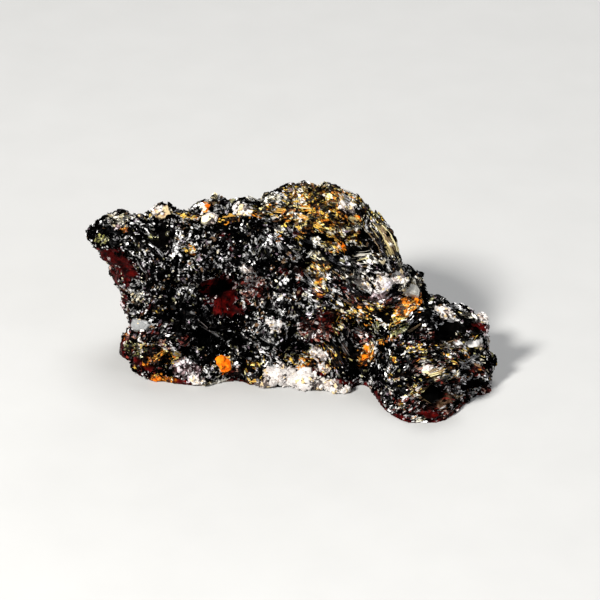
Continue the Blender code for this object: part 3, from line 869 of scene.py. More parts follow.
def solid_mesh(node: str) -> bpy.types.Mesh:
    """Copies a CAD node's mesh and merges its loose triangles.

    Args:
        node: the node's name.

    Returns:
        The new mesh.
    """
    mesh = bpy.data.objects[node].data.copy()
    bm = bmesh.new()
    bm.from_mesh(mesh)
    bmesh.ops.remove_doubles(bm, verts=bm.verts, dist=1e-6)
    bm.to_mesh(mesh)
    bm.free()
    return mesh


def read_values(items: Items, label: str, width: int, kind: type = np.float32) -> Array:
    """Reads one property of a whole collection into an array, width numbers a row.

    Args:
        items: the collection.
        label: the property.
        width: how many numbers an item has.
        kind: the type they are read as.

    Returns:
        The array; a flat one where the width is 1.
    """
    values = np.empty(len(items) * width, kind)
    items.foreach_get(label, values)
    values = values.astype(np.float64) if kind is np.float32 else values
    return values.reshape(-1, width) if width > 1 else values


# ---- tints


class Tint(NamedTuple):
    """One of a kind's colours: its share, the ends of its range, how metallic and how dull."""

    share: float
    low: Rgb
    high: Rgb
    metal: float
    dull: float


# each kind's tints: share, low colour, high colour, metal, dullness; the near-black metallic tints are
# painted shade, and the ore's near-white ones painted glints
TINT_ROWS: dict[Kind, tuple[Row, ...]] = {
    # plain ore: near-black tints are painted shade and near-white tints painted glints, standing for one
    # even steel grey that catches the light or not
    Kind.STEEL: (
        (.92, .001, .001, .001, .004, .004, .004, .95, .36), (.04, .1, .05, .025, .34, .21, .12, .5, .4),
        (.07, .012, .012, .013, .08, .078, .077, .9, .36), (.04, .09, .06, .075, .33, .25, .3, .6, .4),
        (.03, .09, .085, .04, .33, .31, .17, .5, .4), (.11, .24, .235, .235, .6, .59, .58, .8, .36),
        (.03, .68, .6, .42, .92, .86, .68, .3, .4), (.03, .64, .56, .64, .9, .84, .92, .4, .38),
        (.21, .84, .83, .82, .99, .985, .97, .45, .38),
    ),
    Kind.GOLD: (
        (.45, .001, .001, .001, .012, .006, .004, .6, .45), (.11, .08, .022, .004, .26, .09, .01, .1, .6),
        (.1, .5, .16, .012, .84, .3, .026, .05, .6), (.2, .58, .34, .04, .92, .61, .1, .05, .55),
        (.14, .84, .67, .2, .98, .88, .44, .05, .5), (.06, .8, .76, .64, .98, .96, .88, .1, .45),
    ),
    Kind.ORANGE: (
        (.08, .004, .002, .001, .03, .01, .003, .3, .6), (.12, .12, .022, .003, .32, .07, .006, 0, .7),
        (.52, .64, .17, .006, .92, .32, .016, 0, .7), (.2, .8, .42, .05, .93, .58, .12, 0, .6),
        (.08, .86, .78, .5, .97, .92, .74, 0, .5),
    ),
    Kind.RUST: (
        (.42, .001, .001, .001, .016, .006, .005, .6, .45), (.3, .06, .006, .005, .24, .036, .024, .1, .6),
        (.16, .36, .16, .11, .62, .38, .3, .1, .5), (.12, .62, .54, .52, .92, .86, .84, .2, .4),
    ),
    Kind.OLIVE: (
        (.36, .001, .001, .001, .014, .014, .006, .5, .5), (.34, .13, .13, .036, .36, .34, .11, .1, .6),
        (.3, .54, .52, .26, .84, .82, .52, .05, .5),
    ),
    Kind.STREAK: (
        (.36, .001, .001, .001, .02, .016, .01, .6, .45), (.24, .3, .25, .14, .56, .48, .3, .1, .45),
        (.4, .76, .72, .58, .98, .96, .88, .1, .4),
    ),
    Kind.WHITE: (
        (.16, .02, .014, .012, .12, .09, .08, 0, .45), (.16, .36, .29, .25, .56, .48, .42, 0, .45),
        (.1, .76, .56, .26, .88, .7, .4, 0, .42), (.58, .6, .56, .52, .84, .815, .78, 0, .38),
    ),
    Kind.PINK: (
        (.38, .006, .003, .003, .06, .026, .026, 0, .45), (.18, .2, .12, .125, .4, .29, .3, 0, .42),
        (.22, .52, .42, .44, .72, .63, .65, 0, .4), (.22, .78, .74, .74, .94, .92, .92, 0, .38),
    ),
    Kind.EARTH: (
        (.6, .03, .001, .001, .14, .006, .005, 0, .6), (.28, .003, .001, .001, .016, .004, .004, .4, .45),
        (.12, .42, .3, .29, .76, .64, .62, .2, .4),
    ),
    # shaded ore: mostly near-black flakes, painted shade
    Kind.DARK: (
        (.74, .001, .001, .001, .005, .005, .005, .95, .36),
        (.16, .016, .016, .016, .08, .08, .08, .9, .36), (.1, .3, .3, .3, .8, .79, .78, .7, .36),
    ),
    # shaded pits: near-black flakes, painted shade
    Kind.PIT: (
        (.88, .001, .001, .001, .004, .004, .004, .95, .38),
        (.12, .016, .016, .016, .12, .115, .11, .9, .38),
    ),
}
TINTS = {
    kind: tuple(Tint(row[0], row[1:4], row[4:7], *row[7:]) for row in rows)
    for kind, rows in TINT_ROWS.items()
}
TINTS[Kind.BROWN] = TINTS[Kind.RUST]


def tinted(kinds: Array, luck: Array, blend: Array) -> dict[str, Array]:
    """Gives each small piece a colour of its kind.

    Its luck picks the tint whose run of shares holds it, and its blend goes from the tint's
    low colour to its high one.

    Args:
        kinds: each piece's kind, as a number.
        luck: numbers from 0 to 1, dark tints first.
        blend: numbers from 0 to 1.

    Returns:
        Their tints, metal shares and dullness.
    """
    colour = np.zeros((len(kinds), 3))
    metal, dull = np.zeros(len(kinds)), np.zeros(len(kinds))
    for kind, choices in TINTS.items():
        mine = kinds == kind
        ends = np.cumsum([tint.share for tint in choices])
        pick = np.minimum(np.searchsorted(ends / ends[-1], luck[mine]), len(choices) - 1)
        low = np.array([tint.low for tint in choices])[pick]
        high = np.array([tint.high for tint in choices])[pick]
        colour[mine] = low + (high - low) * blend[mine, None]
        metal[mine] = np.array([tint.metal for tint in choices])[pick]
        dull[mine] = np.array([tint.dull for tint in choices])[pick]
    return {"tint": colour, "metal": metal, "dull": dull}


# ---- flakes and grains


@dataclass
class Litter:
    """Small pieces strewn over the stone: how many, how large, and on which kinds."""

    name: str
    count: int
    seed: int
    length: Span
    slimness: Span
    thickly: dict[Kind, float]
    luck_shift: float = 0.0
    clump: float = 0.50  # how strongly bright and dark pieces cluster
    bundle: float = 2.1  # width of the sheaves whose pieces lie alike, mm
    sheaf: Span = (0.62, 0.34)  # a sheaf's share in its pieces' lie and in their luck
    places: Array = field(init=False)
    out: Array = field(init=False)
    along: Array = field(init=False)
    hold: Array = field(init=False)  # how firmly the flow turns each piece
    lie: Array = field(init=False)  # how far each leans, from 0 to 1, and to which side
    side: Array = field(init=False)
    colours: dict[str, Array] = field(init=False)
    rng: Rng = field(init=False)

    def strew(self, stone: Stone) -> None:
        """Picks the places, kinds, frames and colours of all the pieces.

        A piece's kind is drawn by its quad's shares times how thickly each kind is covered.
        Space is parted into warped cubes, the sheaves, each with a direction, a lean and a
        luck of its own. A piece's long axis is the flow, mixed with its sheaf's direction and
        a random one by how firmly the flow holds, and laid flat on the surface. Its luck goes
        up and down with two swells and its sheaf's.

        Args:
            stone: what they lie on.
        """
        rng = np.random.default_rng(self.seed)
        cover = np.zeros(len(Kind))
        for kind, share in self.thickly.items():
            cover[kind] = share
        each = stone.weights[stone.quads].mean(axis=1) * cover
        base = stone.points[stone.quads][:, :, 2].max(axis=1) < 0.3
        each[base] = 0.0
        self.places, self.out, quad = stone.scatter(each.sum(axis=1), rng, self.count)
        running = np.cumsum(each[quad], axis=1)
        draw = rng.random((self.count, 1)) * running[:, -1:]
        kinds = (running < draw).sum(axis=1)
        way, self.hold = stone.flow(self.places)
        warp = np.stack([swell(self.places, 1.6, 24 + axis) for axis in range(3)], axis=1)
        cells = np.floor(self.places / self.bundle + 0.55 * warp)
        common = unit(np.stack([hashed(cells, 51 + axis) for axis in range(3)], axis=1) - 0.5)
        self.lie = self.sheaf[0] * hashed(cells, 54) + (1.0 - self.sheaf[0]) * rng.random(self.count)
        self.side = np.where(hashed(cells, 55) + rng.uniform(-0.25, 0.25, self.count) < 0.5, -1.0, 1.0)
        wild = unit(rng.normal(size=(self.count, 3)) * 0.45 + common)
        firm = (self.hold * (0.75 + 0.5 * rng.random(self.count)))[:, None]
        along = way * np.minimum(firm, 1.0) + wild * (1.0 - np.minimum(firm, 1.0)) * 0.8
        self.along = unit(along - self.out * (along * self.out).sum(axis=1, keepdims=True))
        # luck picks a piece's tint, darkest first; on the ore this picks between painted shade and painted
        # glints, clustered by the swells and the sheaves
        luck = rng.random(self.count) + self.luck_shift
        luck += 0.22 * swell(self.places, 6.5, 21) + self.clump * swell(self.places, 1.5, 22)
        luck += self.sheaf[1] * (hashed(cells, 56) - 0.5)
        luck = np.clip(luck, 0.0, 0.9999)
        self.colours = tinted(kinds, luck, rng.random(self.count))
        self.rng = rng

    def kept(self, points: Array) -> Array:
        """Tells which pieces stay above the floor and inside the box and its spare room.

        Args:
            points: the places by piece and corner.

        Returns:
            True for each piece that stays.
        """
        low, high = (np.array(end) / MM for end in CAD_BOX)
        spare = (high - low) * SPARE
        inside = (points > low - spare).all(axis=2) & (points < high + spare).all(axis=2)
        return (inside & (points[:, :, 2] > FLOOR_GAP)).all(axis=1)

    def dress(
        self, points: Array, faces: Array, starts: Array, cell_map: Array, material: Material
    ) -> Piece:
        """Lays the kept pieces as one mesh, each with a square of the map to itself.

        Args:
            points: each piece's points.
            faces: one piece's corners in order, counted from its own first point.
            starts: where each of one piece's faces begins in faces.
            cell_map: map places of one piece's corners, about the middle of its square.
            material: their finish.

        Returns:
            The piece.
        """
        keep = self.kept(points)
        many, each = keep.sum(), points.shape[1]
        side, index = math.ceil(math.sqrt(many)), np.arange(many)
        middles = (np.stack([index % side, index // side], axis=1) + 0.5) / side
        places = middles[:, None] + cell_map * (1.0 / side)
        corners = faces + (index * each)[:, None]
        begins = starts + (index * len(faces))[:, None]
        values = {label: np.repeat(value[keep], each, axis=0) for label, value in self.colours.items()}
        flat = points[keep].reshape(-1, 3)
        sheet = Sheet(flat, corners.ravel(), begins.ravel(), values, places.reshape(-1, 2))
        return settle(sheet.lay(self.name), material)


@dataclass
class Flakes(Litter):
    """Thin plates rooted in the stone: a many-sided face on a point below it."""

    sides: int = 6
    tilt: Span = (5.0, 70.0)
    lift: float = 0.10
    twist: float = 24.0  # how far a flake's long axis may dip, degrees
    rim: Span = (0.72, 1.0)  # a rim point's distance, as a share of the half size

    def lay(self, stone: Stone, finish: "FlakeFinish") -> Piece:
        """Builds the flakes.

        A rim point is the middle, plus the long axis times half the length times the cosine
        of its angle, plus the short axis times half the width times its sine, both by an
        uneven radius. The face leans about the long axis by the tilt. The root lies under the
        middle, inside the stone.

        Args:
            stone: what they lie on.
            finish: their finish.

        Returns:
            The piece.
        """
        self.strew(stone)
        rng, many, sides = self.rng, self.count, self.sides
        long = rng.uniform(*self.length, many) / 2.0
        long *= 1.0 + 0.7 * self.hold * rng.random(many)
        wide = long * rng.uniform(*self.slimness, many) * (1.0 - 0.45 * self.hold)
        lean = np.radians(self.tilt[0] + (self.tilt[1] - self.tilt[0]) * self.lie) * self.side
        twist = np.radians(rng.uniform(-self.twist, self.twist, many)) * (1.0 - 0.6 * self.hold)
        flat = np.cross(self.out, self.along)
        short = flat * np.cos(lean)[:, None] + self.out * np.sin(lean)[:, None]
        axis = unit(self.along + self.out * np.sin(twist)[:, None])
        short = unit(short - axis * (short * axis).sum(axis=1, keepdims=True))
        middle = self.places + self.out * (self.lift + 0.62 * wide * np.abs(np.sin(lean)))[:, None]
        turn = (np.arange(sides) + rng.uniform(-0.28, 0.28, (many, sides))) * 2.0 * np.pi / sides
        uneven = rng.uniform(*self.rim, (many, sides))
        rim = middle[:, None] + axis[:, None] * (long[:, None] * uneven * np.cos(turn))[..., None]
        rim = rim + short[:, None] * (wide[:, None] * uneven * np.sin(turn))[..., None]
        deep = 0.28 + 0.9 * wide * np.abs(np.sin(lean)) + self.lift
        root = middle - self.out * deep[:, None]
        points = np.concatenate([rim, root[:, None]], axis=1)
        after = (np.arange(sides) + 1) % sides
        skirt = np.stack([after, np.arange(sides), np.full(sides, sides)], axis=1)
        faces = np.concatenate([np.arange(sides), skirt.ravel()])
        starts = np.concatenate([[0], sides + 3 * np.arange(sides)])
        return self.dress(points, faces, starts, self.star(sides), finish.material())

    @staticmethod
    def star(sides: int) -> Array:
        """Unfolds one flake into a star: its face in the middle, its skirt round it.

        Args:
            sides: how many sides its face has.

        Returns:
            Its corners on the map.
        """
        turn = np.arange(sides) * 2.0 * np.pi / sides
        rim = 0.24 * np.stack([np.cos(turn), np.sin(turn)], axis=1)
        half = turn + np.pi / sides
        tips = 0.46 * np.stack([np.cos(half), np.sin(half)], axis=1)
        skirt = np.stack([np.roll(rim, -1, axis=0), rim, tips], axis=1).reshape(-1, 2)
        return np.concatenate([rim, skirt])


@dataclass
class Grains(Litter):
    """Small blocks of crystal rooted in the stone, each a box with every corner moved."""

    rise: Span = (0.5, 1.0)
    sunk: float = 0.35

    def lay(self, stone: Stone, finish: "QuartzFinish") -> Piece:
        """Builds the grains.

        A corner is the middle plus or minus each half axis, moved by up to a quarter of it,
        and the upper face is drawn in. The block is turned at random.

        Args:
            stone: what they lie on.
            finish: their finish.

        Returns:
            The piece.
        """
        self.strew(stone)
        rng, many = self.rng, self.count
        long = rng.uniform(*self.length, many) / 2.0
        wide, high = (long * rng.uniform(*share, many) for share in (self.slimness, self.rise))
        half = np.stack([long, wide, high], axis=1)
        up = unit(self.out + 0.45 * rng.normal(size=(many, 3)))
        side = unit(np.cross(up, self.along))
        turn = np.stack([np.cross(side, up), side, up], axis=1)
        box = np.array([[x, y, z] for z in (-1, 1) for x, y in ((-1, -1), (1, -1), (1, 1), (-1, 1))], float)
        spots = box + rng.uniform(-0.28, 0.28, (many, 8, 3))
        spots[:, 4:, :2] *= rng.uniform(0.55, 0.9, (many, 1, 1))
        middle = self.places + self.out * (half[:, 2] * (1.0 - 2.0 * self.sunk))[:, None]
        points = middle[:, None] + np.einsum("nks,nsd->nkd", spots * half[:, None], turn)
        faces = np.array([4, 5, 6, 7, 3, 2, 1, 0, 0, 1, 5, 4, 1, 2, 6, 5, 2, 3, 7, 6, 3, 0, 4, 7])
        starts = np.arange(6) * 4
        return self.dress(points, faces, starts, self.tray(), finish.material())

    @staticmethod
    def tray() -> Array:
        """Lays one block's six faces out in two rows of three.

        Returns:
            Its corners on the map.
        """
        square = np.array([[-1, -1], [1, -1], [1, 1], [-1, 1]]) * 0.5
        spots = [((k % 3 - 1) * 0.31, (k // 3 - 0.5) * 0.46) for k in range(6)]
        return np.concatenate([square * (0.25, 0.38) + spot for spot in spots])


# ---- blades


class Blade(NamedTuple):
    """One long blade or a sheaf of them: its ends, its width, its tint and how far it stands off.

    The ends are view points, or places in millimetres where the view only grazes the stone.
    """

    start: Row
    end: Row
    width: float
    tint: Tint
    copies: int = 1
    lift: float = 0.36


PALE_GOLD = Tint(1.0, (0.600, 0.480, 0.200), (0.880, 0.790, 0.440), 0.10, 0.40)
CREAM = Tint(1.0, (0.700, 0.650, 0.540), (0.930, 0.900, 0.800), 0.10, 0.40)
STRAW = Tint(1.0, (0.380, 0.300, 0.120), (0.640, 0.520, 0.240), 0.10, 0.50)
BRONZE = Tint(1.0, (0.110, 0.070, 0.030), (0.260, 0.170, 0.080), 0.40, 0.45)
AMBER = Tint(1.0, (0.520, 0.260, 0.030), (0.820, 0.480, 0.080), 0.05, 0.55)
# near-black blades laid as painted shade: the dark lines between the pale blades, and the dark streaks under
# the folds and in the hollows
SHADE_BLACK = Tint(1.0, (0.004, 0.004, 0.005), (0.020, 0.020, 0.022), 0.85, 0.30)
STEELY = Tint(1.0, (0.240, 0.240, 0.240), (0.560, 0.550, 0.550), 0.80, 0.32)

# the sheaf of long splinters down the right of the hump
SPLINTERS = (
    Blade((21.0, 1.6, 42.0), (27.2, -3.2, 30.8), .24, PALE_GOLD, 9, .58),
    Blade((21.8, 3.2, 41.4), (27.9, -1.8, 30.4), .22, CREAM, 6, .54),
    Blade((20.0, .4, 42.0), (25.8, -4.6, 31.4), .24, STRAW, 12, .5),
    Blade((19.2, -1.0, 41.8), (23.8, -5.8, 33.6), .26, SHADE_BLACK, 8, .3),
    Blade((20.4, 1.0, 41.8), (25.8, -4.0, 32.8), .26, BRONZE, 8, .46),
    Blade((18.4, -1.8, 41.4), (22.6, -6.6, 34.2), .2, BRONZE, 4, .24),
)
# the blades of the folds and the strokes across the front face: two view points, width, tint, copies
DRAWN_BLADES = (
    (370, 214, 382, 240, .45, STEELY, 3), (374, 232, 386, 258, .45, BRONZE, 3),
    (352, 255, 378, 253, .34, CREAM, 4), (350, 259, 380, 256, .34, SHADE_BLACK, 3),
    (353, 260, 384, 257, .34, PALE_GOLD, 4), (356, 264, 380, 262, .34, CREAM, 3),
    (356, 268, 386, 266, .4, BRONZE, 3), (376, 258, 392, 261, .45, CREAM, 2),
    (300, 236, 322, 250, .5, SHADE_BLACK, 3), (308, 238, 326, 250, .55, CREAM),
    (308, 252, 330, 262, .55, PALE_GOLD, 2), (322, 254, 352, 272, .6, SHADE_BLACK, 4),
    (318, 262, 350, 282, .45, BRONZE, 3), (286, 212, 322, 226, .55, AMBER, 3),
    (300, 216, 334, 234, .5, AMBER, 3), (290, 207, 318, 212, .45, PALE_GOLD, 2),
    (322, 232, 350, 250, .5, AMBER, 3), (330, 204, 354, 212, .45, PALE_GOLD, 2),
    (332, 194, 356, 206, .45, STEELY, 3), (342, 194, 362, 210, .45, CREAM, 2),
    (318, 186, 345, 190, .4, STRAW, 3), (340, 214, 362, 224, .45, STRAW, 3),
    (336, 228, 360, 230, .45, PALE_GOLD, 2), (252, 199, 284, 199, .5, STEELY, 3),
    (256, 203, 290, 205, .45, SHADE_BLACK, 3), (262, 210, 298, 214, .45, AMBER, 3),
    (215, 219, 244, 214, .45, AMBER, 3), (176, 216, 200, 218, .3, AMBER), (336, 280, 366, 300, .5, SHADE_BLACK, 4),
    (342, 276, 370, 292, .4, STEELY, 3), (334, 292, 356, 306, .4, BRONZE, 3),
    (330, 336, 346, 366, .5, SHADE_BLACK, 4), (336, 334, 352, 360, .4, STEELY, 3),
    (390, 318, 416, 298, .5, AMBER, 3), (376, 344, 398, 336, .45, AMBER, 2),
    (398, 336, 424, 319, .24, BRONZE, 3), (412, 378, 456, 368, .55, PALE_GOLD, 2),
    (420, 374, 452, 365, .45, BRONZE, 3), (418, 383, 460, 374, .5, STRAW, 3),
    (430, 362, 458, 352, .45, SHADE_BLACK, 3), (456, 366, 484, 352, .45, STEELY, 3),
    (454, 312, 480, 318, .45, STEELY, 3), (462, 330, 488, 338, .45, SHADE_BLACK, 3),
    (412, 392, 430, 384, .24, BRONZE, 3), (388, 384, 410, 396, .45, SHADE_BLACK, 3),
    (398, 352, 418, 366, .45, SHADE_BLACK, 3), (134, 352, 150, 338, .45, STRAW, 3),
    (146, 362, 166, 350, .45, AMBER, 2), (132, 340, 160, 332, .4, BRONZE, 3),
    (150, 344, 168, 330, .45, SHADE_BLACK, 3), (118, 216, 140, 222, .45, STEELY, 3),
    (134, 256, 150, 278, .42, STEELY, 2), (146, 240, 168, 262, .42, STEELY, 2),
    (196, 318, 222, 340, .42, STEELY, 2), (262, 236, 274, 264, .42, SHADE_BLACK, 2),
    (272, 232, 290, 264, .42, STEELY, 3), (288, 240, 304, 268, .42, STEELY, 2),
    (298, 264, 318, 296, .42, STEELY, 2), (250, 330, 276, 344, .42, STEELY, 2),
    (352, 282, 384, 304, .42, STEELY, 2), (424, 352, 460, 340, .42, BRONZE, 3),
    (404, 384, 430, 404, .42, BRONZE, 2), (436, 404, 470, 392, .42, BRONZE, 2),
    (106, 228, 124, 236, .45, SHADE_BLACK, 3), (200, 386, 224, 380, .5, CREAM), (242, 382, 268, 379, .45, AMBER, 2),
)
BLADES = SPLINTERS + tuple(Blade((x, y), (to_x, to_y), *rest) for x, y, to_x, to_y, *rest in DRAWN_BLADES)


@dataclass
class Blades:
    """Long thin blades that follow the stone's folds."""

    name: str = "long_blades"
    seed: int = 77
    steps: int = 7
    ring: int = 5
    thickness: float = 0.42  # share of a blade's width
    more: int = 2  # copies added to every sheaf whose ends are view points
    fineness: float = 0.58  # share of its width that a drawn blade has
    stray: float = 3.2  # how far a copy's ends lie from the drawn ones, view points
    stray_mm: float = 0.80  # the same for ends in millimetres
    calm_rounds: int = 5
    arch: float = 1.6  # how high a blade's middle stands, as a share of its lift
    sunk: float = 0.10  # how deep its ends lie, mm
    thin: float = 0.02  # its least half width, mm
    parting: float = 7.0  # how far apart the streaks of two blades are taken

    def paths(self, stone: Stone) -> tuple[Array, Array, list[Blade]]:
        """Carries every blade over the surface that the view meets between its ends.

        Args:
            stone: what they lie on.

        Returns:
            The middle lines, the ways out along them, and the blade of each.
        """
        rng = np.random.default_rng(self.seed)
        met, owners = [], []
        for blade in BLADES:
            drawn = len(blade.start) == 2
            for _ in range(blade.copies + self.more * drawn):
                ends = np.array([blade.start, blade.end], float)
                loose = self.stray / 2.0 if drawn else self.stray_mm
                ends += rng.normal(size=ends.shape) * (0.0 if blade.copies == 1 else loose)
                shares = np.linspace(*sorted(rng.uniform((0.0, 0.7), (0.3, 1.0))), self.steps)
                spots = ends[0] + (ends[1] - ends[0]) * shares[:, None]
                if drawn:
                    met.append([VIEW.meet(stone.tree, spot) for spot in spots])
                else:
                    met.append([stone.tree.find_nearest(Vector(spot))[:2] for spot in spots])
                owners.append(blade._replace(width=blade.width * (self.fineness if drawn else 1.0)))
        lines, outs = np.moveaxis(np.array(met), 2, 0)
        return lines, outs, owners

    def lay(self, stone: Stone, finish: "BladeFinish") -> Piece:
        """Sweeps a flat section of few sides along each path, and tapers it to both ends.

        The path is calmed by averaging neighbours and arches off the surface by the blade's
        lift. The section's half width is the blade's, times (1 - |2s - 1|^2.5)^0.6 along it.

        Args:
            stone: what they lie on.
            finish: their finish.

        Returns:
            The piece.
        """
        lines, outs, owners = self.paths(stone)
        many, each = len(owners), self.steps * self.ring
        rng = np.random.default_rng(self.seed + 1)
        for _ in range(self.calm_rounds):
            lines[:, 1:-1] = (lines[:, :-2] + lines[:, 1:-1] + lines[:, 2:]) / 3.0
        out = unit(outs.mean(axis=1))[:, None] * np.ones((1, self.steps, 1))
        share = np.linspace(0.0, 1.0, self.steps)
        widths, lifts = np.array([(blade.width, blade.lift) for blade in owners]).T[..., None]
        lines = lines + out * (lifts * np.sin(np.pi * share) * self.arch - self.sunk)[..., None]
        ahead = unit(np.gradient(lines, axis=1))
        side = unit(np.cross(out, ahead))
        lean = rng.uniform(-0.9, 0.9, (many, 1, 1))
        flat = unit(side * np.cos(lean) + out * np.sin(lean))
        upright = np.cross(ahead, flat)
        half = widths / 2.0 * (1.0 - np.abs(2.0 * share - 1.0) ** 2.5) ** 0.6
        half = np.maximum(half, self.thin)[..., None]
        turn = np.arange(self.ring) * 2.0 * np.pi / self.ring
        over, up = np.cos(turn) * half, np.sin(turn) * half * self.thickness
        section = flat[:, :, None] * over[..., None] + upright[:, :, None] * up[..., None]
        points = lines[:, :, None] + section
        low, high = (np.array([blade.tint[end] for blade in owners]) for end in (1, 2))
        colour = low + (high - low) * rng.random((many, 1))
        length = sizes(np.diff(lines, axis=1)).sum(axis=1)[:, None, None]
        apart = np.arange(many)[:, None, None] * self.parting
        run = np.stack(np.broadcast_arrays(share[:, None] * length, over, apart), axis=-1)
        values = {"tint": np.repeat(colour, each, axis=0), "run": run.reshape(-1, 3)}
        for label in ("metal", "dull"):
            values[label] = np.repeat([getattr(blade.tint, label) for blade in owners], each)
        return lay_strips(self.name, points, finish.material(), values)


# ---- crystals and lumps


class Crystal(NamedTuple):
    """A knot of crystals: its view point, its sizes, its lie, its colour, stain and number."""

    at: Span
    size: Span
    along: Place
    colour: Rgb
    stained: float = 0.2
    pieces: int = 3


CRYSTALS = tuple(
    Crystal(*row)
    for row in (
        ((163, 212), (3.8, 2.5), (1, .3, .22), (.9, .72, .4), .38, 1),
        ((155, 210), (3, 1.7), (1, .1, .4), (.93, .86, .7), .34, 2),
        ((212, 198), (2.6, .9), (.1, .2, 1), (.6, .58, .55), .3, 2),
        ((209, 219), (3.5, 2), (1, .2, .1), (.95, .88, .6), .22, 1),
        ((236, 212), (3.4, 1.1), (.1, .3, 1), (.95, .9, .76), .2, 2),
        ((241, 210), (3.6, 1), (0, .3, 1), (.95, .9, .8), .16, 2),
        ((247, 211), (3.6, 1.1), (-.1, .3, 1), (.93, .9, .85), .2, 2),
        ((259, 198), (2, 1.2), (1, 0, 0), (.4, .41, .37), .2, 2),
        ((347, 208), (2.4, 1.6), (1, 0, -.2), (.84, .83, .8), .15, 2),
        ((141, 325), (5.2, 2.5), (1, 0, -.12), (.29, .3, .3), .05, 1),
        ((275, 327), (3.4, 2.6), (1, 0, -.4), (.84, .83, .84), .1, 3),
        ((190, 377), (3.4, 2.2), (1, 0, -.4), (.66, .57, .61), .2, 3),
        ((281, 374), (7.2, 4), (1, 0, .1), (.74, .7, .66), .12, 7),
        ((303, 380), (7.8, 4.2), (1, 0, -.1), (.74, .7, .66), .14, 8),
        ((324, 385), (5.8, 2.2), (1, 0, -.1), (.93, .88, .78), .26, 5),
        ((342, 390), (3.6, 1.2), (1, 0, -.1), (.9, .82, .66), .34, 3),
        ((383, 286), (4.2, 3), (1, 0, .3), (.86, .82, .9), .1, 3),
        ((411, 289), (5.2, 2.7), (1, .2, -.2), (.54, .53, .47), .15, 1),
        ((404, 279), (2.6, 1.6), (1, .2, -.5), (.78, .78, .76), .15, 2),
        ((441, 311), (2.6, 2.2), (1, .4, -.3), (.88, .87, .86), .15, 2),
        ((451, 319), (3, 2), (1, .4, -.6), (.88, .87, .86), .12, 2),
        ((478, 339), (3.5, 2.5), (1, .2, 0), (.95, .95, .92), .05, 1),
    )
)
CRYSTAL_OUTLINE = ((-1.0, -0.35), (-0.7, -1.0), (0.75, -1.0), (1.0, 0.2), (0.65, 1.0), (-0.8, 0.9))


